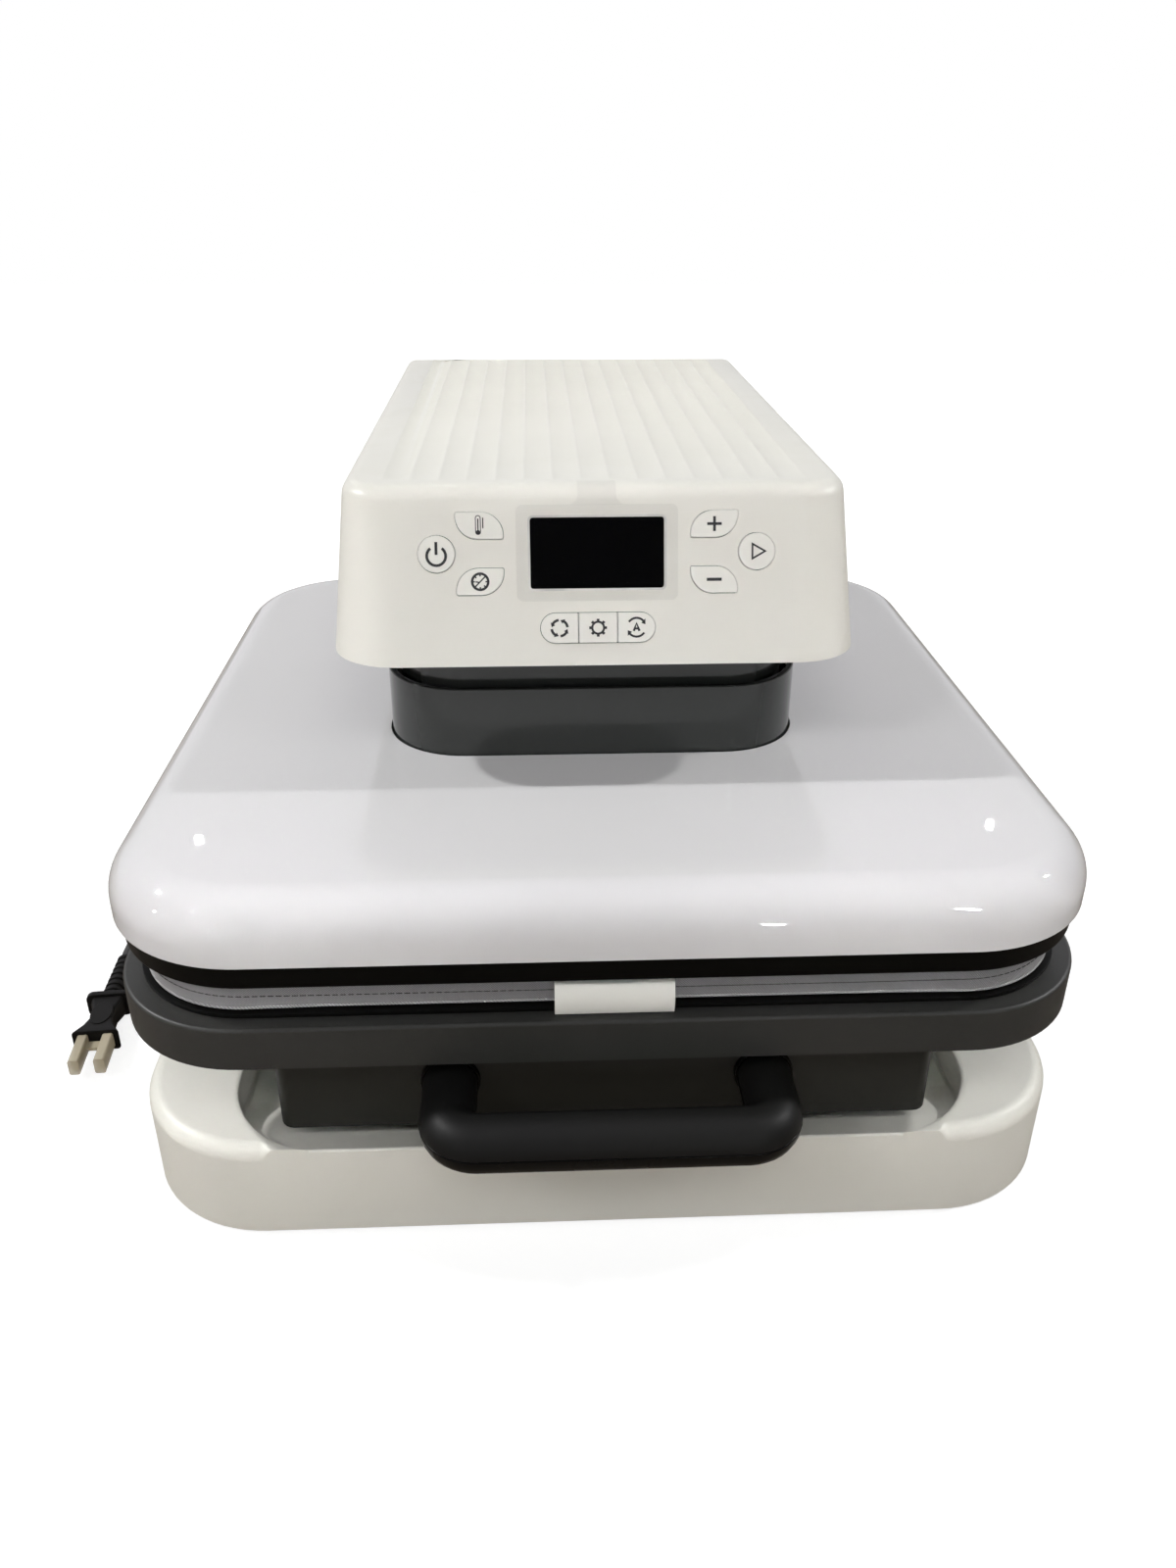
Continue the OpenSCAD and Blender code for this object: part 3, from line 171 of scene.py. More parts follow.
# Base shell: a white moulding with soft shoulders and a drawer bay whose floor ramps up to the front lip.
# Injection moulded in the head's satin ABS and screwed down onto a steel floor.
# Its colour is painted a shade lighter than the head's, as painted light for the shoulders that the press shades.


def put_down():
    """Leaves edit mode, with nothing selected."""
    if bpy.context.object and bpy.context.object.mode != "OBJECT":
        bpy.ops.object.mode_set(mode="OBJECT")
    bpy.ops.object.select_all(action="DESELECT")


def alone(piece):
    """Selects only this piece and makes it active."""
    put_down()
    piece.select_set(True)
    bpy.context.view_layer.objects.active = piece


def settle(piece, **placing):
    """Gives a piece its name, place, turn or scale, and takes these into its mesh."""
    alone(piece)
    for key, value in placing.items():
        setattr(piece, key, value)
    bpy.ops.object.transform_apply()
    return piece


def block(name, low, high):
    """A cube between two corners."""
    put_down()
    bpy.ops.mesh.primitive_cube_add(size=1, location=[(a + b) / 2 for a, b in zip(low, high)])
    return settle(bpy.context.object, name=name, scale=[b - a for a, b in zip(low, high)])


def pick(piece, kind, test=lambda *points: True):
    """Goes into edit mode with the vertices, edges or faces selected whose points pass a test."""
    alone(piece)
    bpy.ops.object.mode_set(mode="EDIT")
    bpy.ops.mesh.select_mode(type=kind)
    bpy.ops.mesh.select_all(action="DESELECT")
    mesh = bmesh.from_edit_mesh(piece.data)
    for part in {"VERT": mesh.verts, "EDGE": mesh.edges, "FACE": mesh.faces}[kind]:
        if test(*([part.co] if kind == "VERT" else [v.co for v in part.verts])):
            part.select_set(True)
    bmesh.update_edit_mesh(piece.data)


def pick_level(piece, kind, *levels):
    """Selects the edges or faces that lie flat at these heights."""
    pick(piece, kind, lambda *points: any(all(abs(p.z - z) < 1e-5 for p in points) for z in levels))


def upright(a, b):
    """Whether an edge between two points stands up."""
    return abs(a.z - b.z) > 0.8 * (a - b).length


def bevel(radius, steps, corners=False):
    """Rounds what is selected in edit mode and goes back to object mode."""
    bpy.ops.mesh.bevel(offset=radius, segments=steps, affect="VERTICES" if corners else "EDGES")
    bpy.ops.object.mode_set(mode="OBJECT")


def rounded_block(name, low, high, radius, steps):
    """A block with its upright edges rounded."""
    piece = block(name, low, high)
    pick(piece, "EDGE", upright)
    bevel(radius, steps)
    return piece


def inset(low, high, by, foot, top):
    """Two corners of a box drawn in on its four sides, between two heights."""
    return (low.x + by, low.y + by, foot), (high.x - by, high.y - by, top)


def round_rim(piece, level, radius, steps):
    """Rounds the edges that lie at a height."""
    pick_level(piece, "EDGE", level)
    bevel(radius, steps)


def bisect(piece, point, normal, **settings):
    """Cuts the whole of a piece along a plane and stays in edit mode."""
    pick(piece, "FACE")
    bpy.ops.mesh.bisect(plane_co=point, plane_no=normal, **settings)


def modify(piece, kind, **settings):
    """Adds a modifier with its settings and applies it."""
    alone(piece)
    made = piece.modifiers.new(kind.lower(), kind)
    for name, value in settings.items():
        setattr(made, name, value)
    bpy.ops.object.modifier_apply(modifier=made.name)


def cut(piece, tool):
    """Takes a tool's shape out of a piece."""
    modify(piece, "BOOLEAN", operation="DIFFERENCE", object=tool, solver="EXACT")
    bpy.data.objects.remove(tool, do_unlink=True)


def soften(piece, angle=35):
    """Smooth shading, broken at edges sharper than the angle, with flats kept flat."""
    alone(piece)
    bpy.ops.object.shade_smooth_by_angle(angle=math.radians(angle))
    modify(piece, "WEIGHTED_NORMAL", keep_sharp=True, weight=60)


def group(name, inputs, outputs):
    """A shader node group with named float inputs and outputs, its input node and its coordinates."""
    made = bpy.data.node_groups.new(name, "ShaderNodeTree")
    for label, value in inputs:
        made.interface.new_socket(label, in_out="INPUT", socket_type="NodeSocketFloat").default_value = value
    for label in outputs:
        made.interface.new_socket(label, in_out="OUTPUT", socket_type="NodeSocketFloat")
    return made, node(made, "NodeGroupInput"), (node(made, "ShaderNodeTexCoord"), "Object")


# The skin of a moulding: spark-eroded grain, a slow drift of shade, and smudges where hands have been
moulded_skin, given, place = group(
    "moulded_skin", [("Grain", 1500.0), ("Drift", 9.0)], ["Height", "Drift", "Smudge"]
)
grain = node(
    moulded_skin, "ShaderNodeTexNoise", {"Vector": place, "Scale": (given, "Grain"), "Roughness": 0.6}
)
drift = node(moulded_skin, "ShaderNodeTexNoise", {"Vector": place, "Scale": (given, "Drift"), "Detail": 3.0})
drift = node(moulded_skin, "ShaderNodeMapRange", {"Value": (drift, "Fac"), "From Min": 0.35, "From Max": 0.65})
smudge = node(
    moulded_skin, "ShaderNodeTexNoise", {"Vector": place, "Scale": 34.0, "Detail": 5.0, "Distortion": 0.7}
)
smudge = node(moulded_skin, "ShaderNodeMapRange", {"Value": (smudge, "Fac"), "From Min": 0.5, "From Max": 0.74})
ends = {"Height": (grain, "Fac"), "Drift": (drift, "Result"), "Smudge": (smudge, "Result")}
node(moulded_skin, "NodeGroupOutput", ends)


def finish(name, pattern, scale, tones, tone_by, worn, worn_by, bump, body):
    """A patterned material: two outputs of a group mix its tones and set its roughness, and Height its relief."""
    made = bpy.data.materials.new(name)
    tree = new_nodes(made)
    skin = node(tree, "ShaderNodeGroup", scale, node_tree=pattern)
    mix = {"Factor": (skin, tone_by), "A": (*tones[0], 1), "B": (*tones[1], 1)}
    tone = node(tree, "ShaderNodeMix", mix, data_type="RGBA")
    polish = node(tree, "ShaderNodeMapRange", {"Value": (skin, worn_by), **worn})
    relief = node(tree, "ShaderNodeBump", {"Height": (skin, "Height"), **bump})
    look = {"Base Color": (tone, "Result"), "Roughness": (polish, "Result"), "Normal": (relief, "Normal")}
    body = node(tree, "ShaderNodeBsdfPrincipled", {**look, **body})
    node(tree, "ShaderNodeOutputMaterial", {"Surface": (body, "BSDF")})
    return made


def moulded(name, colour, shade, rough, dull=0.1, grain=1600, bump=0.1, coat=0.0, specular=0.5):
    """A moulded finish: colour drifting to shade, roughness rising by dull in the smudges, grain in the gloss."""
    worn = {"To Min": rough, "To Max": rough + dull}
    relief = {"Strength": bump, "Distance": 0.0002}
    body = {"Specular IOR Level": specular, "Coat Weight": coat, "Coat Roughness": 0.02}
    return finish(name, moulded_skin, {"Grain": grain}, (colour, shade), "Drift", worn, "Smudge", relief, body)


def paint(piece, material):
    """Gives a piece a material in place of any that it has."""
    piece.data.materials.clear()
    piece.data.materials.append(material)


def dress(piece, material, slot, body, *nodes):
    """Gives a finished piece its material and body, and hides the CAD nodes that it stands for. The slot is not used.
    """
    paint(piece, material)
    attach(piece, body)
    if nodes:
        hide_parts(*nodes)


white_abs = moulded("white_satin_abs", (0.80, 0.79, 0.725), (0.775, 0.765, 0.70), 0.36, dull=0.14, specular=0.4)
# The head's white painted lighter: painted light for the base's shaded shoulders
base_abs_painted_light = moulded("base_satin_abs_painted_light", (0.89, 0.88, 0.805), (0.865, 0.855, 0.78), 0.36, dull=0.14, specular=0.4)
base_low, base_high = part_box("base_shell")
base_front, base_top = base_low.y, base_high.z
base_r, base_rim, base_wall = 0.060, 0.007, 0.0028
base = rounded_block("base_moulding", base_low, base_high, base_r, 18)
round_rim(base, base_top, base_rim, 6)
# The front rim sharpens step by step where it runs into the lip of the bay
for x, tight in ((0.1490, 0.96), (0.1478, 0.85), (0.1466, 0.67), (0.1454, 0.47), (0.1442, 0.29), (0.1430, 0.17)):
    for side in (-x, x):
        bisect(base, (side, 0, 0), (1, 0, 0))
        pick(
            base,
            "VERT",
            lambda p: abs(p.x - side) < 1e-5
            and p.y < base_front + base_rim + 0.0001
            and p.z > base_top - base_rim - 0.00005,
        )
        bpy.ops.transform.resize(value=(1, tight, tight), center_override=(side, base_front, base_top))
# The bay: a ramped floor, round rear corners, a flared rim and a lip that rolls over at the front
bay_half, bay_rear, bay_floor, bay_r = 0.166, 0.185, 0.030, 0.047
bay_front, ramp_y, lip_z = base_front - 0.0006, -0.178, 0.0480
bay_middle, bay_reach = (bay_front + bay_rear) / 2, (bay_rear - bay_front) / 2
bay = block("bay_tool", (-bay_half, bay_front, bay_floor), (bay_half, bay_rear, base_top + 0.010))
bisect(bay, (0, ramp_y, 0), (0, 1, 0))
pick(bay, "VERT", lambda p: p.y < base_front and p.z < bay_floor + 0.001)
bpy.ops.transform.translate(value=(0, 0, lip_z - bay_floor))
pick(bay, "EDGE", lambda a, b: upright(a, b) and abs(a.x) > bay_half - 0.001 and abs(a.y - ramp_y) > 0.001)
bevel(bay_r, 16)
pick(
    bay,
    "EDGE",
    lambda a, b: max(a.z, b.z) < lip_z + 0.0002
    and min(a.y, b.y) > ramp_y - 0.030
    and max(abs(a.y - ramp_y), abs(b.y - ramp_y)) > 1e-4
    and min(abs(a.x), abs(b.x)) > bay_half - bay_r - 0.0005
    or max(a.z, b.z) < bay_floor + 0.0001
    and min(a.y, b.y) > bay_rear - 0.0001,
)
bevel(0.0018, 3)


def flare_bay(out):
    """Moves the picked points of the bay tool outwards."""
    wider = (1 + out / bay_half, 1 + out / bay_reach, 1)
    bpy.ops.transform.resize(value=wider, center_override=(0, bay_middle, base_top))


rim_flare = 0.0014
for below, out in ((0.0014, 0.0), (0.0009, 0.0001), (0.0005, 0.00035), (0.0002, 0.0007), (0.0, rim_flare)):
    bisect(bay, (0, 0, base_top - below), (0, 0, 1))
    pick(bay, "VERT", lambda p: abs(p.z - base_top + below) < 1e-6)
    flare_bay(out)
pick(bay, "VERT", lambda p: p.z > base_top + 0.009)
flare_bay(rim_flare)
lip_start, lip_round = -0.2271, 0.0020
for ahead in (0.0004, 0.0008, 0.0012, 0.0016, 0.0019):
    bisect(bay, (0, lip_start - ahead, 0), (0, 1, 0))
bpy.ops.object.mode_set(mode="OBJECT")
for v in bay.data.vertices:
    ahead = min(lip_start - v.co.y, lip_round)
    if ahead > 0 and v.co.z < lip_z + 0.0002:
        v.co.z -= lip_round - math.sqrt(lip_round**2 - ahead**2)
cut(base, bay)
# The well that opens under the column, and the hollow inside, which leaves a wall round the bay
above_base = 0.060
column_low, column_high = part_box("column_cover")
column_r, column_wall = 0.022, 0.003
well = inset(column_low, column_high, column_wall, 0.040, above_base)
cut(base, rounded_block("column_well", *well, column_r - column_wall, 8))
hollow_space = inset(base_low, base_high, base_wall, base_low.z - 0.001, base_top - base_wall)
cavity = rounded_block("base_cavity", *hollow_space, base_r - base_wall, 16)
round_rim(cavity, base_top - base_wall, 0.0050, 4)
bay_wall = block(
    "bay_wall",
    (-bay_half - base_wall, base_front - 0.001, bay_floor - base_wall),
    (bay_half + base_wall, bay_rear + base_wall, above_base),
)
pick(bay_wall, "EDGE", lambda a, b: upright(a, b) and a.y > 0)
bevel(bay_r + base_wall, 12)
cut(cavity, bay_wall)
cut(base, cavity)
soften(base)
dress(base, base_abs_painted_light, "shell_white", "base", "base_shell")

# Column cover: a white sleeve with rounded corners that stands on the base behind the press.
# It hides the steel frame that carries the head.


def hollow(piece, wall, *levels, even=True):
    """Opens a block at these heights and gives its skin a wall, inwards."""
    pick_level(piece, "FACE", *levels)
    bpy.ops.mesh.delete(type="FACE")
    modify(piece, "SOLIDIFY", thickness=wall, offset=-1, use_even_offset=even)


column = rounded_block("column_moulding", column_low, column_high, column_r, 10)
hollow(column, column_wall, column_low.z, column_high.z)
soften(column)
dress(column, white_abs, "shell_white", "base", "column_cover")

# Head: a white moulding with a leaning control panel, drawn in towards a top of shallow front-to-back waves.
# It is one shell, cut for its display and keys, and closed from below by a dark plate.


def rounded_sheet(name, low, high, z, radius, steps):
    """A flat sheet with rounded corners."""
    put_down()
    bpy.ops.mesh.primitive_plane_add(size=1, location=((low[0] + high[0]) / 2, (low[1] + high[1]) / 2, z))
    piece = settle(bpy.context.object, name=name, scale=(high[0] - low[0], high[1] - low[1], 1))
    pick(piece, "VERT")
    bevel(radius, steps, corners=True)
    return piece


def join(first, *others):
    """Makes one piece of several."""
    alone(first)
    for other in others:
        other.select_set(True)
    if others:
        bpy.ops.object.join()
    return first


head_low, head_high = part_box("head_housing")
head_z, top_z = head_low.z, head_high.z
head_front, head_back = head_low.y, head_high.y
top_half, top_front = 0.11237, -0.0949
sheet_back = head_back + 0.030
lower = rounded_sheet("head_moulding", (head_low.x, head_front), (head_high.x, sheet_back), head_z, 0.030, 12)
upper = rounded_sheet("head_top", (-top_half, top_front), (top_half, sheet_back), top_z, 0.022, 12)
head = join(lower, upper)
pick(head, "EDGE")
bpy.ops.mesh.delete(type="ONLY_FACE")
bpy.ops.mesh.select_all(action="SELECT")
bpy.ops.mesh.bridge_edge_loops()
for level in (head_z, top_z):
    pick_level(head, "EDGE", level)
    bpy.ops.mesh.edge_face_add()
bpy.ops.mesh.select_all(action="SELECT")
bpy.ops.mesh.normals_make_consistent()
round_rim(head, top_z, 0.006, 6)
bisect(head, (0, head_back, 0), (0, 1, 0), use_fill=True, clear_outer=True)
pick(head, "EDGE", lambda a, b: min(a.y, b.y) > head_back - 1e-5 and max(a.z, b.z) > head_z + 1e-4)
bevel(0.0035, 4)
# One flute across, as shares of the pitch and mm of depth, and how the flutes fade in behind the front edge
flute_pitch, flutes = 0.0126, 15
first_flute = -flutes / 2 * flute_pitch
rise = ((0.04, 0.20), (0.15, 0.67), (0.30, 1.09))
flute_section = ((0.0, 0.0), *rise, (0.50, 1.30), *((1 - share, drop) for share, drop in reversed(rise)))
flute_end = ((-0.0840, 0.0), (-0.0815, 0.4), (-0.0780, 0.8), (-0.0730, 1.0))
for step in range(flutes + 1):
    for share, drop in flute_section if step < flutes else flute_section[:1]:
        pick_level(head, "FACE", top_z)
        bpy.ops.mesh.bisect(plane_co=(first_flute + (step + share) * flute_pitch, 0, 0), plane_no=(1, 0, 0))
for y, depth in flute_end:
    pick_level(head, "FACE", top_z)
    bpy.ops.mesh.bisect(plane_co=(0, y, 0), plane_no=(0, 1, 0))
for share, drop in flute_section[1:]:
    for y, depth in flute_end[1:]:
        pick(
            head,
            "VERT",
            lambda p: p.z > top_z - 1e-5
            and (p.y > y - 1e-5 if depth == 1 else abs(p.y - y) < 1e-5)
            and abs(p.x) < -first_flute
            and abs((p.x - first_flute) / flute_pitch % 1 - share) < 0.004,
        )
        bpy.ops.transform.translate(value=(0, 0, -drop * depth / 1000))
hollow(head, 0.003, head_z)
soften(head, 40)
dress(head, white_abs, "shell_white", "base", "head_housing")

# Press cover: a glossy white lid with broad round edges, pierced for the neck.
# Moulded in white and lacquered to a mirror gloss, it hides the hot plate.
cover_gloss = moulded(
    "white_lacquer", (0.725, 0.72, 0.725), (0.715, 0.71, 0.715),
    0.22, dull=0.0, grain=500, bump=0.0, coat=1.0, specular=0.0,
)
cover_low, cover_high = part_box("press_cover")
cover = rounded_block("press_lid", cover_low, cover_high, 0.064, 24)
round_rim(cover, cover_high.z, 0.020, 14)
hollow(cover, 0.003, cover_low.z)
neck_low, neck_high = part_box("lower_shroud")
neck_r, neck_air = 0.038, 0.001
throat = inset(neck_low, neck_high, -neck_air, 0.150, 0.190)
cut(cover, rounded_block("throat_tool", *throat, neck_r + neck_air, 14))
soften(cover)
dress(cover, cover_gloss, "cover_white", "press", "press_cover")

# Lid trim: a satin black band round the lid's lower edge, with a ledge inside that carries the plate.
# One plastic moulding, pushed up into the lid from below.
black_satin = moulded(
    "black_satin_band", (0.0014, 0.0015, 0.0013), (0.0022, 0.0022, 0.0020),
    0.36, dull=0.12, grain=1400, bump=0.12, specular=0.09,
)
trim_foot, trim_ledge = 0.1314, 0.004
trim_low, trim_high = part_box("cover_trim")
trim_low.z, trim_high.z = trim_foot, cover_low.z + 0.0001
trim = rounded_block("lid_trim", trim_low, trim_high, 0.061, 24)
round_rim(trim, trim_foot, 0.0012, 3)
pick_level(trim, "FACE", trim_foot)
bpy.ops.mesh.inset(thickness=trim_ledge)
bpy.ops.mesh.delete(type="FACE")
modify(trim, "SOLIDIFY", thickness=0.003, offset=-1)
soften(trim)
dress(trim, black_satin, "trim_black", "press", "cover_trim")

# Neck: a dark glossy collar that stands in the lid, and inside it a fixed sleeve under the head.
# Both are moulded in grey plastic, and the collar slides over the sleeve as the press rises.
neck_gloss = moulded(
    "neck_grey_gloss", (0.020, 0.0225, 0.021), (0.026, 0.028, 0.0265),
    0.12, grain=900, bump=0.02, coat=0.3,
)


def ease(piece, width, steps):
    """Rounds every edge of a piece that is sharper than 50 degrees."""
    modify(piece, "BEVEL", width=width, segments=steps, limit_method="ANGLE", angle_limit=math.radians(50))


def collar(name, low, high, radius, wall, lip):
    """An upright tube with rounded corners and softened rims."""
    piece = rounded_block(name, low, high, radius, 14)
    hollow(piece, wall, low.z, high.z, even=False)
    ease(piece, lip, 3)
    soften(piece)
    return piece


neck_low.z = 0.1660
neck = collar("neck_collar", neck_low, neck_high, neck_r, 0.003, 0.0006)
dress(neck, neck_gloss, "neck_grey", "press", "lower_shroud")
sleeve = collar("fixed_sleeve", *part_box("upper_shroud"), 0.0315, 0.002, 0.0005)
dress(sleeve, neck_gloss, "neck_grey", "base", "upper_shroud")

# Platen: a dark grey tray with a square skirt and a finely rounded edge, which carries the pad.
# Cast and powder coated, it lies on the steel plate of the drawer.
platen_grey = moulded(
    "platen_grey_coat", (0.026, 0.027, 0.025), (0.032, 0.032, 0.030),
    0.42, dull=0.12, grain=1500, bump=0.16, specular=0.4,
)
platen_low, platen_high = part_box("platen_tray")
platen = rounded_block("platen_cast", platen_low, platen_high, 0.058, 20)
round_rim(platen, platen_high.z, 0.0018, 3)
hollow(platen, 0.003, platen_low.z)
soften(platen)
dress(platen, platen_grey, "platen_grey", "platen", "platen_tray")

# Carriage: a near-black box below the platen, open at its rear where the slide rails pass, that carries the handle.
# Moulded in satin plastic, hung from the platen's steel plate and clear of the base by a hair.
carriage_black = moulded(
    "carriage_black", (0.016, 0.0165, 0.0135), (0.020, 0.020, 0.017),
    0.46, dull=0.12, grain=1300, bump=0.18, specular=0.3,
)
carriage_low, carriage_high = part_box("carriage_box")
carriage_low.z, carriage_high.y = 0.0490, 0.1765
carriage = rounded_block("carriage_shell", carriage_low, carriage_high, 0.006, 5)
pick(carriage, "FACE", lambda *points: min(p.y for p in points) > carriage_high.y - 0.0001)
bpy.ops.mesh.delete(type="FACE")
hollow(carriage, 0.003, carriage_low.z, carriage_high.z, even=False)
ease(carriage, 0.0006, 2)
soften(carriage)
dress(carriage, carriage_black, "carriage_black", "platen", "carriage_box")

# Pull handle: a round bar bent into two posts, moulded as an upper and a lower half that meet in a fine groove.
# Satin black plastic, screwed on from inside the carriage through a collar at each post.
handle_black = moulded(
    "handle_black", (0.006, 0.006, 0.006), (0.008, 0.008, 0.0075),
    0.48, grain=1100, bump=0.15, specular=0.20,
)
handle_gloss = moulded(
    "handle_black_gloss", (0.0015, 0.0015, 0.0015), (0.0025, 0.0025, 0.0023),
    0.26, grain=900, bump=0.05, specular=0.12,
)


def polar(radius, angle, centre=(0, 0)):
    """The point at a radius and an angle in degrees from a centre."""
    a = math.radians(angle)
    return (centre[0] + radius * math.cos(a), centre[1] + radius * math.sin(a))


def arc(centre, radius, start, end, steps):
    """Points of an arc in a plane, angles in degrees."""
    return [polar(radius, start + (end - start) * i / steps, centre) for i in range(steps + 1)]


def curve(name, points, closed=False, **settings):
    """A curve of straight runs through points, with its settings."""
    shape = bpy.data.curves.new(name, "CURVE")
    for key, value in settings.items():
        setattr(shape, key, value)
    line = shape.splines.new("POLY")
    line.points.add(len(points) - 1)
    for spot, point in zip(line.points, points):
        spot.co = (*point, 1)
    line.use_cyclic_u = closed
    piece = bpy.data.objects.new(name, shape)
    scene.collection.objects.link(piece)
    return piece


def round_bar(name, points, thick, sides, closed=False):
    """A bar with a round section through points."""
    section = {"bevel_depth": thick / 2, "bevel_resolution": sides, "use_fill_caps": True}
    return curve(name, points, closed, dimensions="3D", **section)


def as_mesh(piece):
    """Makes a mesh of a curve."""
    alone(piece)
    bpy.ops.object.convert(target="MESH")
    return bpy.context.object


def rod(name, radius, depth, centre, turn=(0, 0, 0), sides=48):
    """A cylinder, its turn in degrees."""
    put_down()
    bpy.ops.mesh.primitive_cylinder_add(
        vertices=sides, radius=radius, depth=depth, location=centre, rotation=[math.radians(t) for t in turn]
    )
    return settle(bpy.context.object, name=name)


along_y = (90, 0, 0)
post_x, post_start = 0.0670, -0.2195
bar_y, bar_z, bar_thick = -0.2558, 0.0748, 0.0234
bend_r, seam_z, groove = 0.0127, 0.0755, 0.0001
left_bend = arc((bend_r - post_x, bar_y + bend_r), bend_r, 180, 270, 10)
right_bend = arc((post_x - bend_r, bar_y + bend_r), bend_r, 270, 360, 10)
bar = [(-post_x, post_start)] + left_bend + right_bend + [(post_x, post_start)]
for name, is_upper, plastic, cad in (
    ("handle_bar", True, handle_black, "handle_upper"),
    ("handle_strip", False, handle_gloss, "handle_lower"),
):
    half = as_mesh(round_bar(name, [(x, y, bar_z) for x, y in bar], bar_thick, 9))
    pick(half, "VERT")
    bpy.ops.mesh.remove_doubles(threshold=1e-6)
    half_z = seam_z if is_upper else seam_z - groove
    bisect(half, (0, 0, half_z), (0, 0, 1), use_fill=True, clear_inner=is_upper, clear_outer=not is_upper)
    ease(half, 0.0008, 3)
    soften(half, 45)
    dress(half, plastic, "handle_black", "platen", cad)
collar_r, collar_long = 0.0127, 0.003
collar_y = post_start + collar_long / 2
collars = join(
    *[rod("post_collars", collar_r, collar_long, (x, collar_y, bar_z), along_y) for x in (-post_x, post_x)]
)
ease(collars, 0.0007, 3)
soften(collars)
dress(collars, handle_gloss, "handle_black", "platen", "handle_collars")

# Pad board: a thin black pressed board that lies on the platen. The pad is glued onto it.
# It stands out a little all round the pad, and that black ledge is painted shadow on the platen top that the lid
# shades.
board_black_with_painted_shadow = moulded(
    "pad_board_black", (0.0022, 0.0022, 0.0021), (0.0034, 0.0034, 0.0032),
    0.38, grain=1200, specular=0.10,
)
pad_low, pad_high = Vector((-0.1990, -0.2190, 0.1150)), Vector((0.1990, 0.1790, 0.1310))
# The ledge out beyond the pad is painted shadow on the platen top
board_shadow_ledge, board_gap = 0.0030, 0.0001
board_box = inset(pad_low, pad_high, -board_shadow_ledge, platen_high.z, pad_low.z - board_gap)
pad_board = rounded_block("pad_board", *board_box, 0.0540, 18)
ease(pad_board, 0.0004, 2)
soften(pad_board)
dress(pad_board, board_black_with_painted_shadow, "pad_black", "platen", "pad_base")

# Press pad: a slab of silicone foam in a grey twill cover, boxed with a band and run round with one stitch line.
# The cover is stretched over the foam, so its band swells a little between the seams.
twill, given, place = group("twill_weave", [("Ribs", 280.0), ("Yarn", 2600.0)], ["Height", "Shade", "Fuzz"])
bands = {"Vector": place, "Scale": (given, "Ribs"), "Distortion": 0.35, "Detail": 1.0}
ribs = node(twill, "ShaderNodeTexWave", bands, wave_type="BANDS", bands_direction="DIAGONAL")
yarn = node(twill, "ShaderNodeTexNoise", {"Vector": place, "Scale": (given, "Yarn")})
fuzz = node(twill, "ShaderNodeTexNoise", {"Vector": place, "Scale": 60.0, "Detail": 4.0})
relief = node(twill, "ShaderNodeMath", {0: (yarn, "Fac"), 1: 0.25, 2: (ribs, "Fac")}, operation="MULTIPLY_ADD")
ends = {"Height": (relief, "Value"), "Shade": (ribs, "Fac"), "Fuzz": (fuzz, "Fac")}
node(twill, "NodeGroupOutput", ends)


def woven(name, light, dark, ribs, rough, bump, sheen):
    """A twill cloth: light on its ribs, dark between them."""
    worn = {"From Min": 0.3, "From Max": 0.7, "To Min": rough - 0.06, "To Max": rough}
    relief = {"Strength": bump, "Distance": 0.0004}
    body = {"Sheen Weight": sheen, "Sheen Roughness": 0.45}
    return finish(name, twill, {"Ribs": ribs}, (dark, light), "Shade", worn, "Fuzz", relief, body)


pad_twill = woven(
    "pad_twill_grey", (0.38, 0.38, 0.382), (0.18, 0.18, 0.182), ribs=600.0, rough=0.72, bump=0.6, sheen=0.25
)
pad_y, stitch_z, cloth_grid, grid_lines = -0.02, 0.1220, 0.0098, 15
held_half, swell, swell_frames = 0.188, 0.0009, 20
pad = rounded_block("press_pad_cover", pad_low, pad_high, 0.0505, 16)
round_rim(pad, pad_high.z, 0.0032, 4)
round_rim(pad, pad_low.z, 0.0018, 3)
pick_level(pad, "FACE", pad_low.z, pad_high.z)
bpy.ops.mesh.inset(thickness=0.008)
for z in (0.1190, stitch_z, 0.1250):
    bisect(pad, (0, 0, z), (0, 0, 1))
for step in range(-grid_lines, grid_lines + 1):
    for along, middle in (((1, 0, 0), 0.0), ((0, 1, 0), pad_y)):
        bisect(pad, [n * (middle + step * cloth_grid) for n in along], along)
bpy.ops.object.mode_set(mode="OBJECT")
held = pad.vertex_groups.new(name="held")
inner = [v.index for v in pad.data.vertices if max(abs(v.co.x), abs(v.co.y - pad_y)) < held_half]
held.add(inner, 1.0, "REPLACE")
still = [v.co.copy() for v in pad.data.vertices]
alone(pad)
drape = pad.modifiers.new("drape", "CLOTH")
drape.settings.use_pressure = True
drape.settings.uniform_pressure_force = 4
drape.settings.effector_weights.gravity = 0
drape.settings.vertex_group_mass = "held"
drape.settings.tension_stiffness = 40
drape.settings.compression_stiffness = 40
drape.collision_settings.use_collision = False
drape.point_cache.frame_start, drape.point_cache.frame_end = 1, swell_frames
for step in range(1, swell_frames + 1):
    scene.frame_set(step)
bpy.ops.object.modifier_apply(modifier="drape")
scene.frame_set(1)
for v, was in zip(pad.data.vertices, still):
    moved = v.co - was
    if moved.length > swell:
        v.co = was + moved * (swell / moved.length)
    v.co.z = min(max(v.co.z, pad_low.z), pad_high.z)
modify(pad, "SUBSURF", levels=1, render_levels=1)
alone(pad)
bpy.ops.object.shade_smooth()
dress(pad, pad_twill, "pad_cloth", "platen", "press_pad")


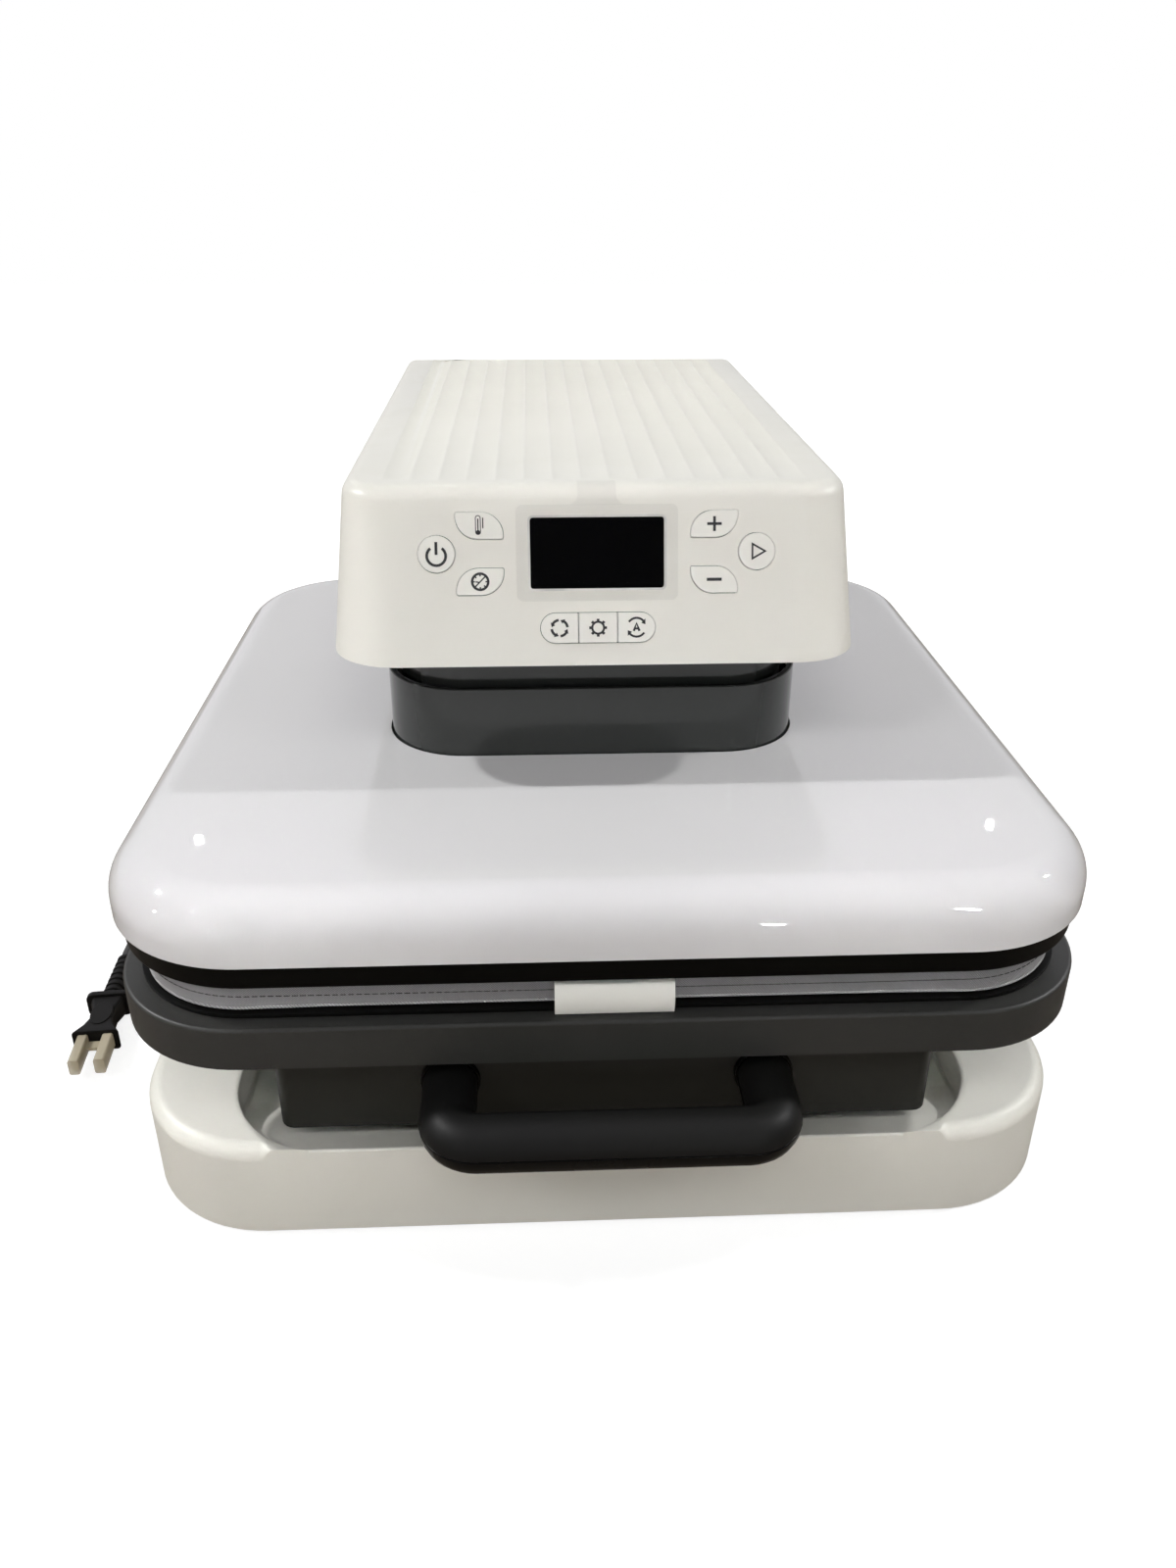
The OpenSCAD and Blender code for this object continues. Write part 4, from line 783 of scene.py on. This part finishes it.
def seam(name, z):
    """A closed curve round the pad's band at a height, laid on its cloth."""
    line = rounded_sheet(name, *inset(pad_low, pad_high, -0.0008, z, z), z, 0.0515, 12)
    pick(line, "EDGE")
    bpy.ops.mesh.delete(type="ONLY_FACE")
    bpy.ops.mesh.select_all(action="SELECT")
    bpy.ops.mesh.subdivide(number_cuts=8)
    modify(line, "SHRINKWRAP", target=pad)
    alone(line)
    bpy.ops.object.convert(target="CURVE")
    return bpy.context.object


# The hem bead is the pad's twill painted lighter: a painted highlight where light grazes the pad's lower edge
hem_twill_painted_highlight = woven(
    "pad_hem_twill", (0.50, 0.50, 0.50), (0.26, 0.26, 0.265), ribs=420.0, rough=0.7, bump=0.5, sheen=0.35
)
hem = seam("pad_hem", pad_low.z + 0.0007)
hem.data.bevel_depth = 0.0006
hem.data.bevel_resolution = 2
hem = as_mesh(hem)
bpy.ops.object.shade_smooth()
dress(hem, hem_twill_painted_highlight, "pad_cloth", "platen")
thread = moulded("pad_thread", (0.012, 0.012, 0.013), (0.02, 0.02, 0.022), 0.62, grain=2600, bump=0.4, specular=0.3)
stitch_long, thread_r, stitch_pitch = 0.0024, 0.0002, 1.35
stitch_line = seam("stitch_line", stitch_z)
stitches = block("pad_stitches", (0, -thread_r, -thread_r), (stitch_long, thread_r, thread_r))
pick(stitches, "EDGE", lambda a, b: abs(a.x - b.x) > 0.001)
bevel(0.0001, 1)
modify(stitches, "ARRAY", fit_type="FIT_CURVE", curve=stitch_line, relative_offset_displace=(stitch_pitch, 0, 0))
modify(stitches, "CURVE", object=stitch_line, deform_axis="POS_X")
bpy.data.objects.remove(stitch_line, do_unlink=True)
dress(stitches, thread, "pad_cloth", "platen")

# Pad tag: a strip of white satin ribbon, folded double and caught in the pad's seam.
# It bows forward over the board's edge and down to the platen.


def strip(name, path, half_width, middle_x=0.0):
    """A flat strip across x along points given as (y, z)."""
    piece = as_mesh(curve(name, [(y, z, 0) for y, z in path], dimensions="3D", extrude=half_width))
    return settle(piece, matrix_world=Matrix(((0, 0, 1, middle_x), (1, 0, 0, 0), (0, 1, 0, 0), (0, 0, 0, 1))))


satin = woven("tag_satin", (0.90, 0.90, 0.84), (0.82, 0.82, 0.76), ribs=900.0, rough=0.38, bump=0.12, sheen=0.3)
tag_half, tag_x, bow_r = 0.0245, 0.002, 0.01385
fold = [(-0.2192, 0.1277), (-0.2212, 0.1280), (-0.2226, 0.12765)] + arc((-0.2120, 0.1195), bow_r, 145, 204, 14)
tag = strip("pad_ribbon", fold, tag_half, tag_x)
modify(tag, "SOLIDIFY", thickness=0.0004, offset=0)
soften(tag, 50)
dress(tag, satin, "tag_satin", "platen", "pad_tag")

# Display: a black glass window set flush in the panel, under a clear peel-off film with a pull tab over the top edge.
# Panel pieces are made flat, with the panel's face at zero height, then leaned back onto the head.
lean = math.radians(71.1)


def to_panel(piece):
    """Leans a piece made on the flat back onto the control panel."""
    return settle(piece, rotation_euler=(lean, 0, 0), location=(0, head_front, head_z))


def plate(name, centre, size, low, high, corners):
    """A flat plate with a radius of its own at each corner: right top, left top, left foot, right foot."""
    half_w, half_h = size[0] / 2, size[1] / 2
    piece = block(
        name, (centre[0] - half_w, centre[1] - half_h, low), (centre[0] + half_w, centre[1] + half_h, high)
    )
    for (side, end), radius in zip(((1, 1), (-1, 1), (-1, -1), (1, -1)), corners):
        pick(
            piece,
            "EDGE",
            lambda a, b: upright(a, b)
            and (a.x - centre[0]) * side > half_w - 1e-6
            and (a.y - centre[1]) * end > half_h - 1e-6,
        )
        bevel(radius, 10)
    return piece


def see_through(name, colour, rough, alpha, haze, cause):
    """A clear or milky plastic, its alpha rising by haze in the smudges or the drift of its skin."""
    made = bpy.data.materials.new(name)
    tree = new_nodes(made)
    skin = node(tree, "ShaderNodeGroup", node_tree=moulded_skin)
    veil = node(tree, "ShaderNodeMath", {0: (skin, cause), 1: haze, 2: alpha}, operation="MULTIPLY_ADD")
    look = {"Base Color": (*colour, 1), "Roughness": rough, "Alpha": (veil, "Value")}
    body = node(tree, "ShaderNodeBsdfPrincipled", look)
    node(tree, "ShaderNodeOutputMaterial", {"Surface": (body, "BSDF")})
    return made


display = (0, 0.049)
hole_low, hole_high = -0.006, 0.003
opening = plate("display_opening", display, (0.0587, 0.0307), hole_low, hole_high, (0.0013,) * 4)
cut(head, to_panel(opening))
glass_black = moulded(
    "display_glass", (0.0012, 0.0012, 0.0016), (0.0018, 0.0018, 0.0022),
    0.06, dull=0.05, grain=500, bump=0.0, specular=0.25,
)
window = plate("display_glass", display, (0.0584, 0.0304), -0.0018, -0.0001, (0.0012,) * 4)
dress(to_panel(window), glass_black, "display_black", "base", "display_window")
film_clear = see_through("peel_film", (0.004, 0.004, 0.0035), rough=0.12, alpha=0.026, haze=0.0091, cause="Smudge")
film_fold = see_through("peel_film_edge", (0.88, 0.88, 0.84), rough=0.2, alpha=0.70, haze=0.245, cause="Smudge")
film = to_panel(plate("peel_film", display, (0.0708, 0.0415), 0.00005, 0.00022, (0.003,) * 4))
# The tab leaves the film at its top, given as up the panel and off it, then rolls over the head's edge
tab_half, tab_thick = 0.0084, 0.00016
tab_path = [
    (
        head_front + up * math.cos(lean) - off * math.sin(lean),
        head_z + up * math.sin(lean) + off * math.cos(lean),
    )
    for up, off in ((0.0695, 0.00014), (0.0712, 0.00014), (0.0722, 0.0002))
]
tab_path += arc((-0.0899, top_z - 0.0070), 0.00722, 158, 92, 8) + [(-0.0868, top_z + 0.0003)]
tab = strip("film_tab", tab_path, tab_half)
for (y, z), flare in zip(tab_path, (1.36, 1.12, 1.03)):
    pick(tab, "VERT", lambda p: abs(p.y - y) + abs(p.z - z) < 1e-5)
    bpy.ops.transform.resize(value=(flare, 1, 1), center_override=(0, y, z))
modify(tab, "SOLIDIFY", thickness=tab_thick, offset=0)
film = join(film, tab)
soften(film, 50)
dress(film, film_clear, "film_clear", "base", "display_film")
ridge = plate("film_ridge", display, (0.0606, 0.0326), 0.00023, 0.00030, (0.0022,) * 4)
cut(ridge, plate("ridge_inner", display, (0.0588, 0.0308), -0.001, 0.001, (0.0013,) * 4))
dress(to_panel(ridge), film_fold, "film_clear", "base")

# Keys: white caps with soft edges that stand a little proud of the panel, each in a hole with a hair of air round it.
# Two round ones, four leaf-shaped ones and a row of three, with dark printed signs.
key_white = moulded("key_white", (0.83, 0.825, 0.765), (0.81, 0.805, 0.745), 0.30, bump=0.05)
ink = moulded("sign_ink", (0.012, 0.012, 0.014), (0.018, 0.018, 0.02), 0.5, bump=0.05)
key_y, key_air, key_proud = display[1], 0.0003, 0.0010
disc_x, disc, disc_r = 0.0701, (0.016, 0.016), 0.00799
leaf_x, leaf_y, leaf, leaf_r, leaf_tip = 0.0513, 0.012, (0.0206, 0.0116), 0.0098, 0.0008
row_y, end_x, end, end_r, row_r = 0.0165, 0.016975, (0.01645, 0.0131), 0.0065, 0.0004
leaf_up, leaf_down = (leaf_r, leaf_tip) * 2, (leaf_tip, leaf_r) * 2
key_forms = {
    "power": ((-disc_x, key_y), disc, (disc_r,) * 4),
    "start": ((disc_x, key_y), disc, (disc_r,) * 4),
    "temperature": ((-leaf_x, key_y + leaf_y), leaf, leaf_up),
    "timer": ((-leaf_x, key_y - leaf_y), leaf, leaf_down),
    "plus": ((leaf_x, key_y + leaf_y), leaf, leaf_down),
    "minus": ((leaf_x, key_y - leaf_y), leaf, leaf_up),
    "mode": ((-end_x, row_y), end, (row_r, end_r, end_r, row_r)),
    "settings": ((0, row_y), (0.0169, 0.0131), (row_r,) * 4),
    "auto": ((end_x, row_y), end, (end_r, row_r, row_r, end_r)),
}
holes = [
    plate("key_hole", centre, [s + 2 * key_air for s in size], hole_low, hole_high, [r + key_air for r in corners])
    for centre, size, corners in list(key_forms.values())[:6]
]
holes.append(plate("row_hole", (0, row_y), (0.0510, 0.0137), hole_low, hole_high, (0.0068,) * 4))
cut(head, to_panel(join(*holes)))
for name, (centre, size, corners) in key_forms.items():
    cap = plate(name + "_cap", centre, size, -0.0044, key_proud, corners)
    round_rim(cap, key_proud, 0.00035, 3)
    soften(cap, 50)
    dress(to_panel(cap), key_white, "key_white", name, name + "_key")

ink_spread, ink_flat, ink_z = 1.25, 0.06, key_proud + 0.00001


def sign(name, strokes, fills=()):
    """A printed sign on a key: strokes as (points, width), with True if closed, and fills, in mm from its middle."""
    label = name + "_sign"
    made = []
    for points, width, *closed in strokes:
        line = [(x / 1000, y / 1000, 0) for x, y in points]
        made.append(as_mesh(round_bar(label, line, width * ink_spread / 1000, 1, bool(closed))))
    for points in fills:
        line = [(x / 1000, y / 1000, 0) for x, y in points]
        made.append(as_mesh(curve(label, line, True, dimensions="2D", fill_mode="BOTH", extrude=0.0005)))
    piece = settle(join(*made), scale=(1, 1, ink_flat), location=(*key_forms[name][0], ink_z))
    dress(to_panel(piece), ink, "trim_black", name)


def spokes(start, end, width):
    """Eight strokes round the middle of a sign, from one radius to another."""
    return [([polar(start, a), polar(end, a)], width) for a in range(0, 360, 45)]


def arrow(radius, angle, size, turn):
    """An arrowhead on an arc round the middle of a sign, pointing the way of turn."""
    tip = angle + turn * math.degrees(size * 0.9 / radius)
    return [polar(radius + size * 0.62, angle), polar(radius - size * 0.62, angle), polar(radius, tip)]


middle, quarters = (0, 0), (0, 90, 180, 270)
sign("power", [(arc((0, -0.8), 4.1, 127, 413, 40), 0.95), ([(0, -0.3), (0, 5.2)], 0.95)])
sign("start", [([(-2.0, 3.2), (3.6, 0), (-2.0, -3.2)], 1.25, True)])
bulb = (-0.4, -2.7)
sign(
    "temperature",
    [
        (arc((-0.4, 3.2), 1.05, 0, 180, 10) + arc(bulb, 1.05, 180, 360, 10), 0.32, True),
        ([(-0.4, 3.0), (-0.4, -2.4)], 0.42),
        ([(1.7, 3.4), (1.7, -1.2)], 0.4),
    ],
    [arc(bulb, 0.85, 0, 342, 19)],
)
sign(
    "timer",
    [
        (arc(middle, 3.5, 0, 350, 35), 0.85, True),
        ([(-1.6, -1.6), (1.7, 1.7)], 0.45),
        ([(-2.0, 0), (-0.4, -0.3)], 0.45),
        *spokes(3.4, 2.3, 0.5),
    ],
)
sign("plus", [([(-3.2, 0), (3.2, 0)], 0.95), ([(0, -3.2), (0, 3.2)], 0.95)])
sign("minus", [([(-3.3, 0), (3.3, 0)], 1.05)])
sign(
    "mode",
    [(arc(middle, 3.5, q + 6, q + 58, 10), 0.9) for q in quarters],
    [arrow(3.5, q + 56, 1.9, 1) for q in quarters],
)
sign("settings", [(arc(middle, 2.6, 0, 350, 35), 0.75, True), *spokes(2.6, 3.9, 0.95)])
sign(
    "auto",
    [
        (arc(middle, 4.1, 145, 42, 16), 0.75),
        (arc(middle, 4.1, 325, 222, 16), 0.75),
        ([(-1.25, -1.6), (0, 1.8), (1.25, -1.6)], 0.85),
        ([(-0.8, -0.55), (0.8, -0.55)], 0.7),
    ],
    [arrow(4.1, 44, 2.1, -1), arrow(4.1, 224, 2.1, -1)],
)

# Mains lead: a round black flexible cord, out through a gland at the back, wound into a flat coil behind the machine
# and brought forward along the left side to its plug. Its route is in mm.
cord_black = moulded("cord_black", (0.014, 0.014, 0.014), (0.019, 0.018, 0.017), 0.46, dull=0.12, grain=900, bump=0.2)
lead_thick, lying = 0.0065, 3.3
lead = [
    (-90, 281, 20), (-90, 288, 20), (-90, 300, 16.5), (-90, 313, 9), (-90, 324, 4.5),
    (-90, 332, lying), (-90, 338.5, lying),
]
# The coil winds in for two turns, climbs onto itself in half a turn, and winds out again on top
coil_middle, coil_r, coil_pitch, coil_climb = (-138, 345), 48, 8.2, 7.2
turn_steps, inner_turn, outer_turn = 24, 2, 2.5
all_turns = inner_turn + outer_turn
coil = []
for step in range(int(all_turns * turn_steps) + 1):
    turn = step / turn_steps
    inward = min(turn, inner_turn) if turn < outer_turn else all_turns - turn
    climbed = min(max((turn - inner_turn) * 2, 0), 1)
    spot = polar(coil_r - coil_pitch * inward, 360 * turn, coil_middle)
    coil.append((*spot, lying + coil_climb * climbed))
tail = [
    (-186, 338.5, 10.5), (-186, 332, 10.5), (-187, 320, 9), (-194, 302, 5.5), (-207, 280, 3.6),
    (-223, 254, lying), (-238, 222, lying), (-251, 184, lying), (-260, 142, lying), (-266, 98, lying),
    (-269, 56, lying), (-270, 20, 4), (-269.5, -6, 7), (-268.5, -23, 8.5), (-268, -30, 8.5),
]
route = [tuple(v / 1000 for v in point) for point in lead + coil + tail]
cord = round_bar("mains_lead", route, lead_thick, 4)
dress(cord, cord_black, "cord_black", "base", "cord_lead", "cord_coil", "cord_tail")
gland_x, gland_z = -0.090, 0.020
gland = rod("lead_gland", 0.0060, 0.0135, (gland_x, 0.27425, gland_z), along_y)
flange = rod("gland_flange", 0.0080, 0.003, (gland_x, 0.2690, gland_z), along_y)
gland = join(gland, flange)
ease(gland, 0.0005, 2)
soften(gland)
dress(gland, cord_black, "cord_black", "base", "cord_gland")

# Plug: a moulded two-blade plug with a ribbed relief, a thumb flange and an oval grip on its waisted body.
# A milky push-on sleeve still covers its blades.


def to_plug(piece):
    """Moves a piece made along -Y from the origin onto the end of the lead."""
    return settle(piece, rotation_euler=(0, 0, math.radians(4.086)), location=(-0.268, -0.030, 0.0085))


plug_black = moulded(
    "plug_black", (0.005, 0.005, 0.0047), (0.008, 0.0075, 0.007),
    0.48, dull=0.12, grain=1000, bump=0.2, specular=0.13,
)
relief_long = 0.0395
relief = rod("plug_moulding", 0.0038, relief_long, (0, -relief_long / 2, 0), along_y, 24)
pick(relief, "VERT", lambda p: p.y < 0.0005 - relief_long)
bpy.ops.transform.resize(value=(1.3, 1, 1.3), center_override=(0, -relief_long, 0))
rings = []
for step in range(7):
    ring_y = -0.0018 - 0.0052 * step
    rings.append(rod("relief_rib", 0.0046 + 0.00016 * step, 0.0028, (0, ring_y, 0), along_y, 24))
    ease(rings[-1], 0.0006, 2)
thumb = block("thumb_flange", (-0.0118, -0.0425, -0.0076), (0.0118, -0.0390, 0.0076))
pick(thumb, "EDGE", lambda a, b: abs(a.y - b.y) > 0.002)
bevel(0.004, 5)
ease(thumb, 0.0007, 2)
# The grip narrows behind its front end, given as y with its share of the full width and height
grip_half, grip_tall, grip_front, grip_rear = 0.0122, 0.0066, -0.073, -0.0424
grip = block("plug_grip", (-grip_half, grip_front, -grip_tall), (grip_half, grip_rear, grip_tall))
for y, wide, tall in (
    (-0.0465, 0.66, 0.91),
    (-0.0530, 0.67, 0.91),
    (-0.0595, 0.77, 0.94),
    (-0.0655, 0.90, 0.98),
    (-0.0700, 1.0, 1.0),
):
    bisect(grip, (0, y, 0), (0, 1, 0))
    pick(grip, "VERT", lambda p: abs(p.y - y) < 1e-5)
    bpy.ops.transform.resize(value=(wide, 1, tall), center_override=(0, y, 0))
pick(grip, "VERT", lambda p: p.y > grip_rear - 0.0001)
bpy.ops.transform.resize(value=(0.70, 1, 0.92), center_override=(0, grip_rear, 0))
pick(grip, "EDGE", lambda a, b: abs(a.x - b.x) < 0.004 and abs(a.z - b.z) < 0.002 and abs(a.y - b.y) > 0.001)
bevel(0.0022, 4)
ease(grip, 0.0008, 2)
oval = settle(rod("grip_oval", 0.0056, 0.0012, (0, 0, 0.0058)), scale=(1, 1.7, 1), location=(0, -0.0570, 0))
ease(oval, 0.0003, 2)
plug = join(relief, *rings, thumb, grip, oval)
soften(plug)
dress(to_plug(plug), plug_black, "plug_black", "base", "plug_body")
sleeve_milky = see_through("sleeve_milky", (0.64, 0.57, 0.42), rough=0.30, alpha=0.66, haze=0.12, cause="Drift")
blade_x, tube_half, tube_tall, tube_end, tube_mouth = 0.00635, 0.00275, 0.0045, -0.094, -0.0731
tubes = []
for x in (-blade_x, blade_x):
    tube = block("blade_covers", (x - tube_half, tube_end, -tube_tall), (x + tube_half, tube_mouth, tube_tall))
    pick(tube, "EDGE", lambda a, b: abs(a.y - b.y) > 0.01)
    bevel(0.0012, 4)
    pick(tube, "FACE", lambda *points: min(p.y for p in points) > tube_mouth - 0.0001)
    bpy.ops.mesh.inset(thickness=0.0011)
    bpy.ops.mesh.extrude_region_move(TRANSFORM_OT_translate={"value": (0, -0.0195, 0)})
    tubes.append(tube)
bridge = block("sleeve_bridge", (-0.0045, -0.080, -0.0009), (0.0045, -0.0745, 0.0009))
covers = join(*tubes, bridge)
soften(covers)
dress(to_plug(covers), sleeve_milky, "sleeve_milky", "base", "blade_sleeve")

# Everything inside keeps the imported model's own shape: pressed and turned steel, brass, boards and rubber.
# Steel is brushed or plated, boards are lacquered, and rubber and insulation are dull.
brushed, given, place = group("brushed_grain", [("Fine", 900.0), ("Patch", 40.0)], ["Height", "Shade"])
stretch = node(brushed, "ShaderNodeMapping", {"Vector": place, "Scale": (1.0, 0.04, 1.0)})
lines = {"Vector": (stretch, "Vector"), "Scale": (given, "Fine"), "Detail": 3.0}
fine = node(brushed, "ShaderNodeTexNoise", lines)
patch = node(brushed, "ShaderNodeTexNoise", {"Vector": place, "Scale": (given, "Patch")})
node(brushed, "NodeGroupOutput", {"Height": (fine, "Fac"), "Shade": (patch, "Fac")})


def metal(name, colour, shade, rough):
    """A brushed or plated metal."""
    worn = {"To Min": rough, "To Max": rough + 0.18}
    relief = {"Strength": 0.15, "Distance": 0.0001}
    return finish(name, brushed, {}, (colour, shade), "Shade", worn, "Height", relief, {"Metallic": 1.0})


steel = metal("plated_steel", (0.62, 0.62, 0.62), (0.52, 0.52, 0.53), 0.28)
brass = metal("turned_brass", (0.72, 0.52, 0.22), (0.62, 0.43, 0.17), 0.26)
blade_brass = metal("nickel_blades", (0.66, 0.62, 0.52), (0.58, 0.54, 0.45), 0.25)
frame_paint = moulded(
    "frame_black_paint", (0.022, 0.022, 0.023), (0.03, 0.03, 0.03), 0.48, dull=0.15, grain=700, bump=0.3
)
plate_coat = moulded(
    "plate_coating", (0.035, 0.034, 0.033), (0.05, 0.048, 0.046), 0.36, dull=0.2, grain=1800, bump=0.2
)
board_green = moulded("board_green", (0.02, 0.11, 0.045), (0.015, 0.085, 0.035), 0.35, dull=0.15, grain=300, bump=0.2)
insulation = moulded("insulation_board", (0.55, 0.52, 0.45), (0.45, 0.42, 0.36), 0.85, grain=400, bump=0.6)
rubber = moulded("rubber_black", (0.018, 0.018, 0.018), (0.026, 0.026, 0.025), 0.75, grain=600, bump=0.3)
inside = {
    steel: (
        "base_screws", "slide_rails", "slide_runners", "guide_rods", "drive_screw",
        "screw_bearing", "handle_screws", "motor", "gearbox", "heating_element",
    ),
    brass: ("drive_nut", "guide_bushes"),
    blade_brass: ("plug_blades",),
    frame_paint: ("base_plate", "c_frame", "yoke", "platen_plate", "head_underside"),
    plate_coat: ("heat_plate",),
    board_green: ("control_board", "power_board"),
    insulation: ("insulation_board",),
    rubber: ("rubber_feet", "thermostat", "key_switches", "lcd_module"),
}
for material, names in inside.items():
    for name in names:
        paint(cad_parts[name], material)
